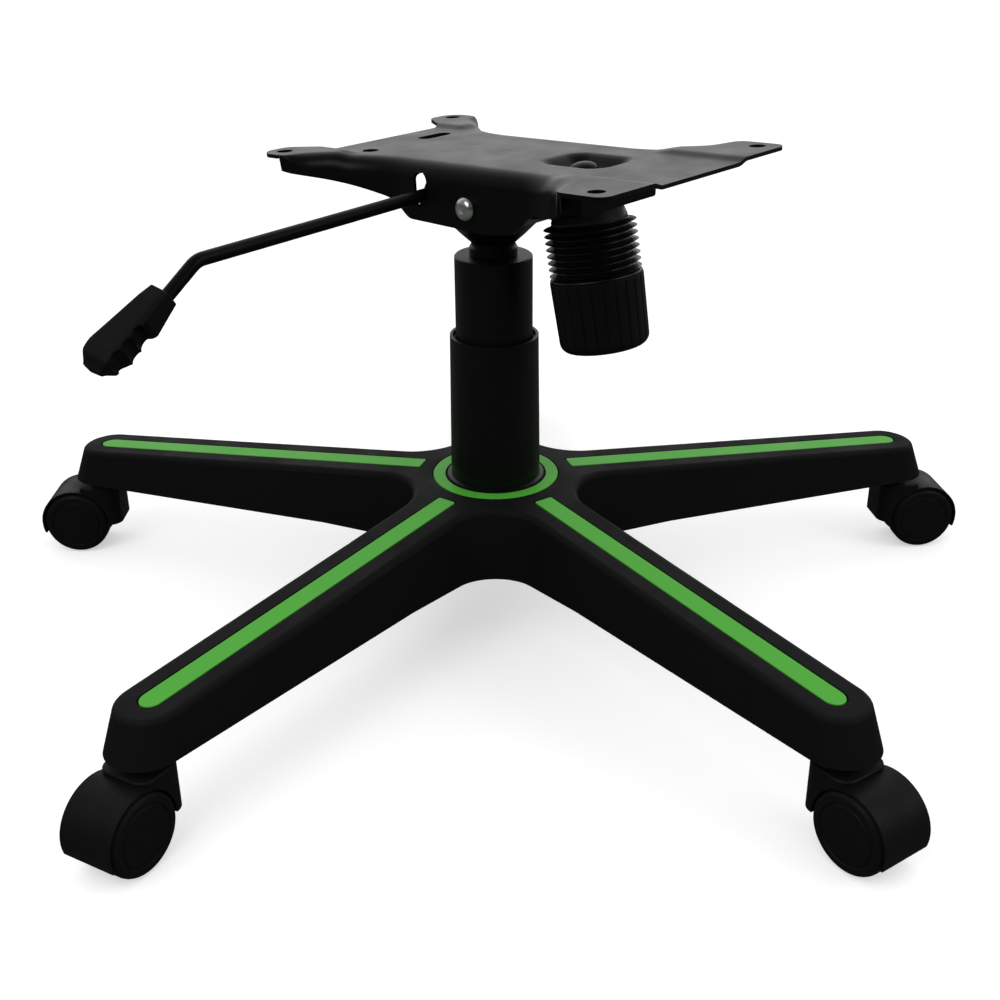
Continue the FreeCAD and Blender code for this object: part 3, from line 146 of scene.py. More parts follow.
def meshObject(name, points, faces, finish, sharp):
    # points in mm; seams and poles are merged, faces turned outwards, and edges over the sharp
    # angle kept crisp
    mesh = bpy.data.meshes.new(name)
    mesh.from_pydata((np.asarray(points).reshape(-1, 3) * mm).tolist(), [], faces)
    work = bmesh.new()
    work.from_mesh(mesh)
    bmesh.ops.remove_doubles(work, verts=work.verts, dist=merging["points"] * mm)
    bmesh.ops.dissolve_degenerate(work, edges=work.edges, dist=merging["slivers"] * mm)
    bmesh.ops.delete(work, geom=[v for v in work.verts if not v.link_faces], context="VERTS")
    bmesh.ops.recalc_face_normals(work, faces=work.faces)
    work.to_mesh(mesh)
    work.free()
    mesh.shade_smooth()
    mesh.set_sharp_from_angle(angle=math.radians(sharp))
    piece = bpy.data.objects.new(name, mesh)
    scene.collection.objects.link(piece)
    mesh.materials.append(finish)
    return piece


def gridPiece(name, points, finish, wrapRows=False, wrapColumns=True, sharp=35):
    # quads between neighbouring rows and columns of a grid of points
    rows, columns = points.shape[:2]
    index = np.arange(rows * columns).reshape(rows, columns)
    if wrapColumns:
        index = np.column_stack([index, index[:, :1]])
    if wrapRows:
        index = np.vstack([index, index[:1]])
    quads = np.stack([index[:-1, :-1], index[:-1, 1:], index[1:, 1:], index[1:, :-1]], -1)
    return meshObject(name, points, quads.reshape(-1, 4).tolist(), finish, sharp)


def softCopy(name, node, finish, width, sharp=28, change=None):
    # a merged copy of a solid, its flat triangles joined and its sharp edges rounded by a bevel of
    # that width, or left alone at width 0; change moves its points first
    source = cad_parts[node].data
    source.calc_loop_triangles()
    points = np.zeros(len(source.vertices) * 3, np.float32)
    source.vertices.foreach_get("co", points)
    corners = np.zeros(len(source.loop_triangles) * 3, np.int32)
    source.loop_triangles.foreach_get("vertices", corners)
    first, same = np.unique(
        np.round(points.reshape(-1, 3) / (merging["copied"] * mm)), axis=0, return_index=True,
        return_inverse=True)[1:]
    triangles = same.reshape(-1)[corners].reshape(-1, 3)
    whole = (triangles[:, 0] != triangles[:, 1]) & (triangles[:, 1] != triangles[:, 2]) & (
        triangles[:, 0] != triangles[:, 2])
    merged = points.reshape(-1, 3)[first].astype(float) / mm
    merged = change(merged) if change else merged
    piece = meshObject(name, merged, triangles[whole].tolist(), finish, sharp)
    work = bmesh.new()
    work.from_mesh(piece.data)
    bmesh.ops.dissolve_limit(
        work, angle_limit=math.radians(merging["flatAngle"]), verts=work.verts, edges=work.edges,
        delimit={"NORMAL"})
    work.to_mesh(piece.data)
    work.free()
    piece.data.shade_smooth()
    piece.data.set_sharp_from_angle(angle=math.radians(sharp))
    if width:
        bevel = piece.modifiers.new("softEdges", "BEVEL")
        bevel.width, bevel.segments = width * mm, 3
        bevel.limit_method, bevel.angle_limit = "ANGLE", math.radians(sharp)
        bevel.harden_normals = True
    return piece


def standsFor(piece, body, slot, *nodes):
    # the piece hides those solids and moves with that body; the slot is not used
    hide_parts(*nodes)
    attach(piece, body)


# finishes: grain, peel, line and cloud are sizes in mm of what the eye sees, depth is the height of
# the bump, and spread is how far the roughness wanders
# black glass filled nylon, moulded in a spark eroded tool: a dull even skin whose faces that
# look up are drawn lighter, partly as dust and partly as painted sheen
nylonLook = {"base": "#101011", "dustAndSheen": "#141415", "rough": 0.6, "spread": 0.08,
             "gloss": 0.055, "ior": 1.5, "grain": 0.9, "depth": 0.03, "cloud": 38}
# in every plastic here the second, lighter colour lies on faces that look up: dust and painted sheen
# dark polypropylene of the caster hoods and wheels: a little smoother, with faint handling marks
casterLook = {"base": "#0e0e0f", "dustAndSheen": "#101011", "rough": 0.5, "spread": 0.1,
              "gloss": 0.12, "ior": 1.49, "grain": 0.8, "depth": 0.02, "cloud": 22}
# polypropylene cover tubes, extruded smooth and matt
coverLook = {"base": "#040404", "dustAndSheen": "#050505", "rough": 0.42, "spread": 0.05,
             "gloss": 0.25, "ior": 1.49, "grain": 1.2, "depth": 0.008, "cloud": 60}
# ABS knob and grip, fine etched skin
knobLook = {"base": "#0a0a0b", "dustAndSheen": "#0d0d0e", "rough": 0.5, "spread": 0.07,
            "gloss": 0.1, "ior": 1.53, "grain": 0.8, "depth": 0.025, "cloud": 25}
# green ABS inlays, moulded satin
inlayLook = {"base": "#449c2e", "dustAndSheen": "#4aa234", "rough": 0.42, "spread": 0.06,
             "gloss": 0.12, "ior": 1.53, "grain": 1.1, "depth": 0.006, "cloud": 45}
# soft black PVC of the bellows, dipped and slightly shiny
bootLook = {"base": "#040404", "dustAndSheen": "#070707", "rough": 0.38, "spread": 0.08,
            "gloss": 0.4, "ior": 1.52, "grain": 1.6, "depth": 0.012, "cloud": 12}
# black acetal of the bushes, machined smooth
bushLook = {"base": "#1a1a1b", "dustAndSheen": "#202021", "rough": 0.4, "spread": 0.05,
            "gloss": 0.4, "ior": 1.48, "grain": 0.8, "depth": 0.01, "cloud": 9}
# black rubber of the bumper ring
rubberLook = {"base": "#101010", "dustAndSheen": "#161616", "rough": 0.7, "spread": 0.06,
              "gloss": 0.3, "ior": 1.52, "grain": 0.7, "depth": 0.03, "cloud": 7}
# sheet steel with a baked black coat: thin and glossy, with the slight orange peel of the coat
coatLook = {"base": "#050505", "worn": "#080808", "rough": 0.34, "spread": 0.04,
            "gloss": 0.15, "ior": 1.5, "peel": 2.6, "depth": 0.012, "cloud": 34}
# the lift's tubes: steel with a smoother painted coat
tubeLook = {"base": "#050505", "worn": "#080808", "rough": 0.38, "spread": 0.05,
            "gloss": 0.1, "ior": 1.5, "peel": 3.2, "depth": 0.006, "cloud": 30}
# ground and hardened bearing steel, zinc plated axles, bright nickel on the pivot's heads:
# fine turning marks round the axis
bearingLook = {"base": "#8b8d90", "dark": "#6f7275", "rough": 0.25, "spread": 0.08, "line": 0.35,
               "depth": 0.004, "cloud": 20}
zincLook = {"base": "#a9abad", "dark": "#85888b", "rough": 0.32, "spread": 0.1, "line": 0.5,
            "depth": 0.006, "cloud": 20}
nickelLook = {"base": "#f0f0ee", "dark": "#c4c4c4", "rough": 0.26, "spread": 0.1, "line": 0.7,
              "depth": 0.01, "cloud": 20}
# oiled spring wire, nearly black
springLook = {"base": "#232427", "dark": "#16171a", "rough": 0.4, "spread": 0.1, "line": 0.6,
              "depth": 0.008, "cloud": 20}


def startFinish(name, look):
    # a material with its shader, the object's own coordinates, and a slow noise that drives its gloss
    material = bpy.data.materials.new(name)
    material.use_nodes = True
    tree = material.node_tree
    tree.nodes.clear()
    output = addNode(tree, "ShaderNodeOutputMaterial")
    shader = addNode(tree, "ShaderNodeBsdfPrincipled")
    tree.links.new(shader.outputs["BSDF"], output.inputs["Surface"])
    where = addNode(tree, "ShaderNodeTexCoord")
    cloud = addNode(tree, "ShaderNodeTexNoise", {
        "Vector": where.outputs["Object"], "Scale": 1 / (look["cloud"] * mm), "Detail": 4.0,
        "Roughness": 0.6})
    gloss = addNode(tree, "ShaderNodeMapRange", {
        "Value": cloud.outputs["Fac"], "From Min": 0.35, "From Max": 0.65,
        "To Min": look["rough"] - look["spread"], "To Max": look["rough"] + look["spread"]})
    tree.links.new(gloss.outputs["Result"], shader.inputs["Roughness"])
    return material, tree, shader, where, cloud


def mouldedPlastic(name, look):
    # fine noise is the skin's grain, drawn a few times coarser than a tool's real grain so that it
    # shows; faces that look up carry a thin patchy lighter colour, partly dust and partly painted sheen
    material, tree, shader, where, cloud = startFinish(name, look)
    # mask of faces that look up: the lighter colour there is dust together with painted sheen on top
    # faces
    up = addNode(tree, "ShaderNodeSeparateXYZ", {"Vector": where.outputs["Normal"]})
    upFacingSheenShare = addNode(tree, "ShaderNodeMapRange", {
        "Value": up.outputs["Z"], "From Min": 0.5, "From Max": 1.0})
    patchyDustAndSheen = addNode(tree, "ShaderNodeMath", {0: upFacingSheenShare.outputs["Result"], 1: cloud.outputs["Fac"]},
                     operation="MULTIPLY")
    dustAndSheenAmount = addNode(tree, "ShaderNodeMath", {0: patchyDustAndSheen.outputs["Value"], 1: 1.7}, operation="MULTIPLY",
                   use_clamp=True)
    tint = addNode(tree, "ShaderNodeMix", {
        0: dustAndSheenAmount.outputs["Value"], 6: linearOf(look["base"]), 7: linearOf(look["dustAndSheen"])},
        data_type="RGBA")
    tree.links.new(tint.outputs[2], shader.inputs["Base Color"])
    grain = addNode(tree, "ShaderNodeTexNoise", {
        "Vector": where.outputs["Object"], "Scale": 1 / (look["grain"] * mm), "Detail": 3.0,
        "Roughness": 0.65})
    bump = addNode(tree, "ShaderNodeBump", {
        "Height": grain.outputs["Fac"], "Distance": look["depth"] * mm, "Strength": 0.8})
    tree.links.new(bump.outputs["Normal"], shader.inputs["Normal"])
    shader.inputs["IOR"].default_value = look["ior"]
    shader.inputs["Specular IOR Level"].default_value = look["gloss"]
    return material


def coatedSteel(name, look):
    # orange peel: rounded cells a few millimetres wide as a shallow bump, and rubbed patches in
    # the colour
    material, tree, shader, where, cloud = startFinish(name, look)
    tint = addNode(tree, "ShaderNodeMix", {
        0: cloud.outputs["Fac"], 6: linearOf(look["base"]), 7: linearOf(look["worn"])}, data_type="RGBA")
    tree.links.new(tint.outputs[2], shader.inputs["Base Color"])
    peel = addNode(tree, "ShaderNodeTexNoise", {
        "Vector": where.outputs["Object"], "Scale": 1 / (look["peel"] * mm), "Detail": 1.0,
        "Roughness": 0.4})
    bump = addNode(tree, "ShaderNodeBump", {
        "Height": peel.outputs["Fac"], "Distance": look["depth"] * mm, "Strength": 0.7})
    tree.links.new(bump.outputs["Normal"], shader.inputs["Normal"])
    shader.inputs["IOR"].default_value = look["ior"]
    shader.inputs["Specular IOR Level"].default_value = look["gloss"]
    return material


def turnedMetal(name, look):
    # noise stretched flat gives the tool's marks, which also shift the metal's tone; they are
    # drawn coarser than real ones so that they show
    material, tree, shader, where, _ = startFinish(name, look)
    flat = addNode(tree, "ShaderNodeMapping", {
        "Vector": where.outputs["Object"], "Scale": (0.08, 0.08, 1)})
    marks = addNode(tree, "ShaderNodeTexNoise", {
        "Vector": flat.outputs["Vector"], "Scale": 1 / (look["line"] * mm), "Detail": 2.0,
        "Roughness": 0.5})
    tint = addNode(tree, "ShaderNodeMix", {
        0: marks.outputs["Fac"], 6: linearOf(look["base"]), 7: linearOf(look["dark"])}, data_type="RGBA")
    tree.links.new(tint.outputs[2], shader.inputs["Base Color"])
    bump = addNode(tree, "ShaderNodeBump", {
        "Height": marks.outputs["Fac"], "Distance": look["depth"] * mm, "Strength": 0.6})
    tree.links.new(bump.outputs["Normal"], shader.inputs["Normal"])
    shader.inputs["Metallic"].default_value = 1.0
    return material


nylonSkin = mouldedPlastic("glass_filled_nylon_moulded", nylonLook)
casterSkin = mouldedPlastic("caster_polypropylene_moulded", casterLook)
coverSkin = mouldedPlastic("polypropylene_tube_matt", coverLook)
knobSkin = mouldedPlastic("abs_etched_black", knobLook)
inlaySkin = mouldedPlastic("abs_moulded_green", inlayLook)
bootSkin = mouldedPlastic("pvc_dipped_black", bootLook)
bushSkin = mouldedPlastic("acetal_machined", bushLook)
rubberSkin = mouldedPlastic("rubber_moulded", rubberLook)
coatSkin = coatedSteel("sheet_steel_baked_coat", coatLook)
tubeSkin = coatedSteel("steel_tube_painted", tubeLook)
bearingSkin = turnedMetal("bearing_steel_ground", bearingLook)
zincSkin = turnedMetal("steel_zinc_plated", zincLook)
nickelSkin = turnedMetal("steel_nickel_plated", nickelLook)
springSkin = turnedMetal("spring_wire_oiled", springLook)

finishOf = {
    "star_base": nylonSkin, "inlay_": inlaySkin, "gas_column": tubeSkin, "guide_sleeve": bushSkin,
    "thrust_bearing": bearingSkin, "bearing_washer": bearingSkin, "rubber_bumper": rubberSkin,
    "piston_rod": zincSkin, "retaining_clip": springSkin, "gas_tube": tubeSkin, "rod_gland": bushSkin,
    "release_button": zincSkin,
    "lower_cover": coverSkin, "middle_cover": coverSkin, "upper_cover": coverSkin,
    "taper_socket": coatSkin, "tilt_bracket": coatSkin, "seat_plate": coatSkin, "pivot_pin": nickelSkin,
    "pivot_bushes": bushSkin, "lever_rod": tubeSkin, "lever_grip": knobSkin, "lever_bush": bushSkin,
    "spring_seat": bushSkin, "tension_bellows": bootSkin, "tension_knob": knobSkin, "knob_nut": zincSkin,
    "spring_plate": zincSkin, "tension_spring": springSkin, "tension_bolt": coatSkin,
    "caster_stem": zincSkin, "caster_hood": casterSkin, "caster_axle": zincSkin, "wheel_": casterSkin}
for nodeName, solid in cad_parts.items():
    finish = next(skin for start, skin in finishOf.items() if nodeName.startswith(start))
    solid.data.materials.clear()
    solid.data.materials.append(finish)
print("finishes ready")


# axes that several pieces share, in mm from the floor's centre: where the lever's rod and the pivot lie
mechanism = {"leverAt": (-10.7, 0, 316.4), "pivotAt": (28.6, 0, 313.9)}

# the plate's own frame lies in its ears' plane, X to the front
seatPlate = {
    "middle": (18.2, 0, 340.6), "pitch": 2.63, "sheet": 2.5, "joggle": 2.2,
    # half outline, front to rear: x, y and the corner's radius
    "outline": [(144.6, 92, 8), (112, 92, 10), (80, 56, 60), (-78, 56, 85), (-117, 92, 14),
                (-142.5, 92, 12), (-142.5, 68, 11), (-118, 52, 7)],
    # lower edge of the side walls: x and height, negative below the ears' plane
    "wallEdge": [(-121.3, -9.8), (-68.7, -24.1), (-55.9, -27.2), (-47.2, -34), (-42.8, -38.8),
                 (2.1, -40.5), (24.3, -41.7), (47.5, -38.8), (53.4, -32.7), (60.2, -26.8),
                 (89.3, -22.7), (111.3, -14)],
    "wallBeyond": 53, "wallSpread": 9, "fold": 10, "foldStart": 0.6, "foldRun": 16,
    # ramps from the main face to the ears, along x and along y
    "frontEars": ((74, 92), (38, 47)), "rearEars": ((88, 100), (47, 56)),
    "dimple": (60, 26, 22.5), "dimpleCorner": 14, "dimpleDepth": 8.5, "dimpleSlope": 12.5,
    # openings: middle, radius and how far a slot runs to either side of its middle
    "holes": (130.5, 80, 5.3), "smallHole": (-90, -41, 5.5), "vent": (-93, 22.5, 5.4, 8.5),
    "leverSlot": (-19.65, 5.6, 5.75), "pivotHole": 6.1, "edge": 0.45,
    "lattice": 2.4, "latticeHalf": (146, 94), "steps": 640, "foldRows": 8, "wallRows": 16}


def tiltedPlace(middle, pitch):
    # frame whose X axis rises to the front by the pitch
    a = math.radians(pitch)
    return placeOf(middle, (math.cos(a), 0, math.sin(a)), (0, 1, 0), (-math.sin(a), 0, math.cos(a)))


def plateTop(x, y, plate):
    # main face, four raised ears reached by soft ramps, and a pan pressed down for the bolt's head
    alongX, alongY = plate["frontEars"]
    front = ease(x, *alongX) * ease(abs(y), *alongY)
    alongX, alongY = plate["rearEars"]
    rear = ease(-x, *alongX) * ease(abs(y), *alongY)
    atX, halfX, halfY = plate["dimple"]
    corner = plate["dimpleCorner"]
    overX, overY = abs(x - atX) - halfX + corner, abs(y) - halfY + corner
    # how far inside a rounded rectangle: its corner less the way past the corner's centre
    beyond = np.hypot(np.maximum(overX, 0), np.maximum(overY, 0))
    inside = corner - (beyond + np.minimum(np.maximum(overX, overY), 0))
    pan = plate["dimpleDepth"] * ease(inside, 0, plate["dimpleSlope"])
    return plate["joggle"] * (np.maximum(front, rear) - 1) - pan


def plateWalls(plate):
    # from the flat top's rim, an arc of the fold's radius and the wall down to its edge; where no
    # wall hangs, all the rows lie on the rim, and those quads are dropped
    corners = plate["outline"]
    half = filleted([(corners[0][0], 0, 0), *corners, (corners[-1][0], 0, 0)], closed=False, steps=14)
    half = evenly(half, plate["steps"] // 2, closed=False)
    edge = np.vstack([half, half[-2:0:-1] * (1, -1)])
    run = np.roll(edge, -1, axis=0) - np.roll(edge, 1, axis=0)
    run = run / np.linalg.norm(run, axis=1)[:, None]
    out = np.stack([run[:, 1], -run[:, 0]], -1)
    out = out * np.sign(np.sum(out * edge, axis=1).mean())
    wallX, wallZ = np.array(plate["wallEdge"]).T
    between = (edge[:, 0] < wallX[-1]) & (edge[:, 0] > wallX[0])
    walled = between & (abs(edge[:, 1]) > plate["wallBeyond"])
    within = np.minimum(wallX[-1] - edge[:, 0], edge[:, 0] - wallX[0])
    start = plate["foldStart"]
    radius = np.where(walled, start + (plate["fold"] - start) * ease(within, 0, plate["foldRun"]), 0)
    inner = edge - out * radius[:, None]
    top = plateTop(inner[:, 0], inner[:, 1], plate)
    turn = np.linspace(0, np.pi / 2, plate["foldRows"] + 1)[:, None, None]
    bend = inner + out * radius[:, None] * np.sin(turn)
    drop = top - radius * (1 - np.cos(turn[..., 0]))
    rows = [np.concatenate([bend, drop[..., None]], -1)]
    # the wall's edge is rounded by a running mean along the outline
    low = np.interp(edge[:, 0], wallX, wallZ)
    kernel = np.hanning(plate["wallSpread"])
    reach = plate["wallSpread"] // 2
    low = np.convolve(np.concatenate([low[-reach:], low, low[:reach]]), kernel / kernel.sum(), "valid")
    low = np.where(walled, np.minimum(low, drop[-1]), drop[-1])
    s = np.linspace(0, 1, plate["wallRows"] + 1)[1:, None]
    down = drop[-1] + (low - drop[-1]) * s
    rows.append(np.concatenate([np.broadcast_to(bend[-1], down.shape + (2,)), down[..., None]], -1))
    hung = walled | np.roll(walled, -1)
    kept = np.broadcast_to(hung, (plate["foldRows"] + plate["wallRows"], len(edge)))
    return np.concatenate(rows), kept


def openingOf(at, radius, run=0, axes=(0, 1), side=0):
    # round hole or slot in the plane of two axes; side is the wall that a cut goes through
    return {"at": at, "radius": radius, "run": run, "axes": axes, "side": side}


def slotLoop(opening, steps=32):
    # round hole, or a slot of that radius whose middle line runs along y
    angle = np.linspace(0, 2 * np.pi, steps, endpoint=False) + np.pi / steps
    x = opening["at"][0] + opening["radius"] * np.cos(angle)
    y = opening["at"][1] + opening["radius"] * np.sin(angle) + opening["run"] * np.sign(np.sin(angle))
    return np.stack([x, y], -1)


def insideLoop(points, loop):
    # odd number of the loop's edges crossed on the way out along x
    x, y = points[:, :1], points[:, 1:]
    x0, y0 = loop.T
    x1, y1 = np.roll(loop, -1, axis=0).T
    rise = np.where(y1 == y0, 1e-9, y1 - y0)
    crossed = ((y0 > y) != (y1 > y)) & (x < x0 + (y - y0) * (x1 - x0) / rise)
    return crossed.sum(axis=1) % 2 == 1


def plateFlat(plate, rim, openings):
    # Delaunay triangles over the flat top: rim, openings' edges and a lattice of points between
    loops = [rim] + [slotLoop(opening) for opening in openings]
    pitch = plate["lattice"]
    halfX, halfY = plate["latticeHalf"]
    x, y = np.meshgrid(np.arange(-halfX, halfX + 1, pitch), np.arange(-halfY, halfY + 1, pitch))
    lattice = np.stack([(x + (np.arange(len(x)) % 2)[:, None] * pitch / 2).ravel(), y.ravel()], -1)
    edges = np.vstack(loops)
    lattice = lattice[insideLoop(lattice, rim)]
    near = np.linalg.norm(lattice[:, None] - edges[None], axis=-1).min(axis=1)
    clear = near > pitch * 0.55
    for opening in openings:
        clear &= awayFrom(lattice, opening)[0] > 0
    points = np.vstack([edges, lattice[clear]])
    ends, start = [], 0
    for loop in loops:
        index = np.arange(len(loop)) + start
        ends.append(np.stack([index, np.roll(index, -1)], -1))
        start += len(loop)
    made = delaunay_2d_cdt(points.tolist(), np.vstack(ends).tolist(), [], 1, 1e-5)
    flat, faces = np.array([tuple(point) for point in made[0]]), np.array(made[2])
    middle = flat[faces].mean(axis=1)
    kept = insideLoop(middle, rim)
    for opening in openings:
        kept &= awayFrom(middle, opening)[0] > 0
    top = plateTop(flat[:, 0], flat[:, 1], plate)
    return np.column_stack([flat, top]), faces[kept]


def awayFrom(points, opening):
    # how far points lie outside a slot's edge: distance to its middle line less its radius, and the
    # direction away from that line
    u, v = opening["axes"]
    x = points[..., u] - opening["at"][0]
    y = points[..., v] - opening["at"][1]
    y = y - np.clip(y, -opening["run"], opening["run"])
    long = np.maximum(np.hypot(x, y), 1e-6)
    return long - opening["radius"], x / long, y / long


def cutOpenings(grid, kept, openings):
    # quads whose middle lies in an opening go, and the points left on its edge move onto the
    # true curve
    grid, kept = grid.copy(), kept.copy()
    for opening in openings:
        nextColumn = np.roll(grid, -1, axis=1)
        middle = (grid[:-1] + grid[1:] + nextColumn[:-1] + nextColumn[1:]) / 4
        gone = (awayFrom(middle, opening)[0] < 0) & (middle[..., 1] * opening["side"] >= 0)
        kept &= ~gone
        around = np.zeros(grid.shape[:2], int)
        for down in (0, 1):
            for shift in (0, 1):
                around[down:len(grid) - 1 + down] += np.roll(gone, shift, axis=1)
        edge = (around > 0) & (around < 4)
        off, x, y = awayFrom(grid, opening)
        u, v = opening["axes"]
        grid[..., u] = np.where(edge, grid[..., u] - off * x, grid[..., u])
        grid[..., v] = np.where(edge, grid[..., v] - off * y, grid[..., v])
    return grid, kept


def makeSeatPlate(plate):
    # pressed sheet: the openings are cut in its outer face before that gets its thickness
    place = tiltedPlace(plate["middle"], plate["pitch"])
    back = np.linalg.inv(place)
    holeX, holeY, holeRadius = plate["holes"]
    above = [openingOf((x * holeX, y * holeY), holeRadius) for x in (1, -1) for y in (1, -1)]
    atX, atY, radius = plate["smallHole"]
    above.append(openingOf((atX, atY), radius))
    atX, atY, radius, run = plate["vent"]
    above.append(openingOf((atX, atY), radius, run))
    lever = carried(np.array(mechanism["leverAt"]), back)
    slotZ, radius, run = plate["leverSlot"]
    beside = [openingOf((lever[0], slotZ), radius, run, axes=(0, 2), side=-1)]
    pivot = carried(np.array(mechanism["pivotAt"]), back)
    for side in (1, -1):
        beside.append(openingOf((pivot[0], pivot[2]), plate["pivotHole"], axes=(0, 2), side=side))
    walls, kept = plateWalls(plate)
    rim = walls[0, :, :2].copy()
    walls, kept = cutOpenings(walls, kept, beside)
    flat, triangles = plateFlat(plate, rim, above)
    index = np.arange(walls.shape[0] * walls.shape[1]).reshape(walls.shape[:2])
    index = np.column_stack([index, index[:, :1]]) + len(flat)
    quads = np.stack([index[:-1, :-1], index[:-1, 1:], index[1:, 1:], index[1:, :-1]], -1)[kept]
    points = np.vstack([flat, walls.reshape(-1, 3)])
    faces = triangles.tolist() + quads.tolist()
    piece = meshObject("seatPlate", carried(points, place), faces, coatSkin, 40)
    wall = piece.modifiers.new("sheet", "SOLIDIFY")
    wall.thickness, wall.offset = plate["sheet"] * mm, -1
    rubbed = piece.modifiers.new("rubbedEdges", "BEVEL")
    rubbed.width, rubbed.segments, rubbed.limit_method = plate["edge"] * mm, 2, "ANGLE"
    rubbed.angle_limit, rubbed.harden_normals = math.radians(50), True
    return piece


plateShape = makeSeatPlate(seatPlate)
standsFor(plateShape, "seat", "coated_steel", "seat_plate")

# riveted pivot pin: its heads are low domes with the rivet's small hollow in the middle; radius and
# distance from the chair's middle
pin = {"turns": 96,
       "head": [(0, 59.7), (1.3, 59.7), (2.1, 60.3), (3.2, 60.5), (4.6, 60.2), (5.9, 59.5), (6.9, 58.4),
                (7.4, 57.2), (7.4, 56.6), (7.2, 56.35), (6.0, 56.3)]}


def makePivotPin(shape):
    # the head's section and its mirror image, turned once round the axis from side to side
    head = np.array(shape["head"])
    profile = np.vstack([head, head[::-1] * (1, -1)])
    across = placeOf(mechanism["pivotAt"], (1, 0, 0), (0, 0, -1), (0, 1, 0))
    return gridPiece("pivotPin", turnedGrid(profile, shape["turns"], across), nickelSkin, sharp=45)


pivotPin = makePivotPin(pin)
standsFor(pivotPin, "seat", "bearing_steel", "pivot_pin")
print("seat plate made")


# bellows, knob, bolt and coil spring share one axis, which leans towards the column
tension = {"top": (79.5, 0, 312.3), "lean": 11.0}
bellows = {"start": 8.0, "ribs": 8, "pitch": 4.15, "ribRadius": 29.3, "rootRadius": 24.2, "wall": 1.4,
           "flange": 1.2, "flangeEdge": 0.4, "sharpness": 2.2, "ribPoints": 14, "turns": 96}
knob = {"start": 42.7, "height": 46.0, "rim": 29.8, "foot": 28.6, "wall": 3.0, "floor": 14.0,
        "bore": 5.2, "footRound": 6.5, "rimRound": (0.7, 0.5), "floorRound": 1, "sectionPoints": 120,
        "grooves": 24, "grooveWidth": 1.3, "grooveDepth": 0.8, "turns": 576}
# clamp bolt: radius and height above the axis' top; its wide domed head rises out of the plate's pan
bolt = {"turns": 96,
        "profile": [(0, 28.3), (3, 28.1), (5.6, 27.4), (7.8, 26.2), (9.2, 24.7), (9.8, 23.3),
                    (9.7, 22.4), (9.4, 22.15), (4.9, 22.15), (4.9, -82.95), (3.9, -83.95), (0, -83.95)]}
# distance added past the coil's ends for the drops handed to blended
coil = {"past": 4}


def tensionFrame(drop):
    # frame on the leaning axis, Z up along it, that drop below its top
    a = math.radians(tension["lean"])
    up = np.array([-math.sin(a), 0, math.cos(a)])
    return placeOf(np.array(tension["top"]) - up * drop, (math.cos(a), 0, math.sin(a)), (0, 1, 0), up)


def makeBellows(shape):
    # radius = root + rise * (half a cosine wave) to a power, so the ribs are thin and the roots wide
    depth = shape["ribs"] * shape["pitch"]
    z = np.linspace(0, depth, shape["ribs"] * shape["ribPoints"] + 1)
    wave = (0.5 - 0.5 * np.cos(2 * np.pi * z / shape["pitch"])) ** shape["sharpness"]
    outer = shape["rootRadius"] + (shape["ribRadius"] - shape["rootRadius"]) * wave
    shell = np.stack([outer, -z], -1)
    lining = np.stack([outer - shape["wall"], -z], -1)[::-1]
    edge, bottom = shape["flangeEdge"], -depth - shape["flange"]
    flange = [(shape["ribRadius"] - edge, -depth), (shape["ribRadius"], -depth - edge),
              (shape["ribRadius"], bottom), (shape["rootRadius"] - shape["wall"], bottom)]
    profile = np.vstack([shell, flange, lining])
    grid = turnedGrid(profile, shape["turns"], tensionFrame(shape["start"]))
    return gridPiece("bellowsBoot", grid, bootSkin, wrapRows=True, sharp=50)


def makeKnob(shape):
    # cup with a slight taper; narrow grooves run up its outside, each a bell curve of the distance
    # round the foot, and fade out at the rim
    high, rim, foot, wall = shape["height"], shape["rim"], shape["foot"], shape["wall"]
    outer, inner = shape["rimRound"]
    corners = [(shape["bore"], -high, 0), (foot, -high, shape["footRound"]), (rim, 0, outer),
               (rim - wall, 0, inner), (foot - wall, -high + shape["floor"], shape["floorRound"]),
               (shape["bore"], -high + shape["floor"], 0)]
    profile = evenly(filleted(corners, closed=True, steps=9), shape["sectionPoints"], closed=True)
    angle = np.linspace(0, 2 * np.pi, shape["turns"], endpoint=False)
    pitch = 2 * np.pi / shape["grooves"]
    away = ((angle + pitch / 2) % pitch - pitch / 2) * foot
    bell = np.exp(-(away / (shape["grooveWidth"] / 2)) ** 2)
    r, h = profile[:, :1], profile[:, 1:]
    outside = ease(r, foot - 3.0, foot - 0.2) * ease(-h, 0.5, 4)
    reach = r - shape["grooveDepth"] * bell * outside
    points = np.stack([reach * np.cos(angle), reach * np.sin(angle), h + 0 * angle], -1)
    return gridPiece("tensionKnob", carried(points, tensionFrame(shape["start"])), knobSkin,
                     wrapRows=True, sharp=50)


def blended(piece, topDrop, lowDrop):
    # works out the axis' points at the first and second drop, which nothing uses, and bakes the piece's
    # place into its points
    topEnd, lowEnd = tensionFrame(topDrop)[:3, 3] * mm, tensionFrame(lowDrop)[:3, 3] * mm
    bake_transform(piece)


boot = makeBellows(bellows)
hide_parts("tension_bellows")
blended(boot, bellows["start"], bellows["start"] + bellows["ribs"] * bellows["pitch"])
knobCup = makeKnob(knob)
standsFor(knobCup, "knob", "knob_plastic", "tension_knob")
boltGrid = turnedGrid(bolt["profile"], bolt["turns"], tensionFrame(0))
clampBolt = gridPiece("clampBolt", boltGrid, coatSkin, sharp=40)
standsFor(clampBolt, "seat", "bearing_steel", "tension_bolt")
# the coil spring inside, copied from its solid
spring = softCopy("tensionCoil", "tension_spring", springSkin, 0)
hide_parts("tension_spring")
springLow, springHigh = (
    (tension["top"][2] - corner[2] / mm) / math.cos(math.radians(tension["lean"]))
    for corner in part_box("tension_spring"))
blended(spring, springHigh + coil["past"], springLow - coil["past"])
print("bellows and knob made")


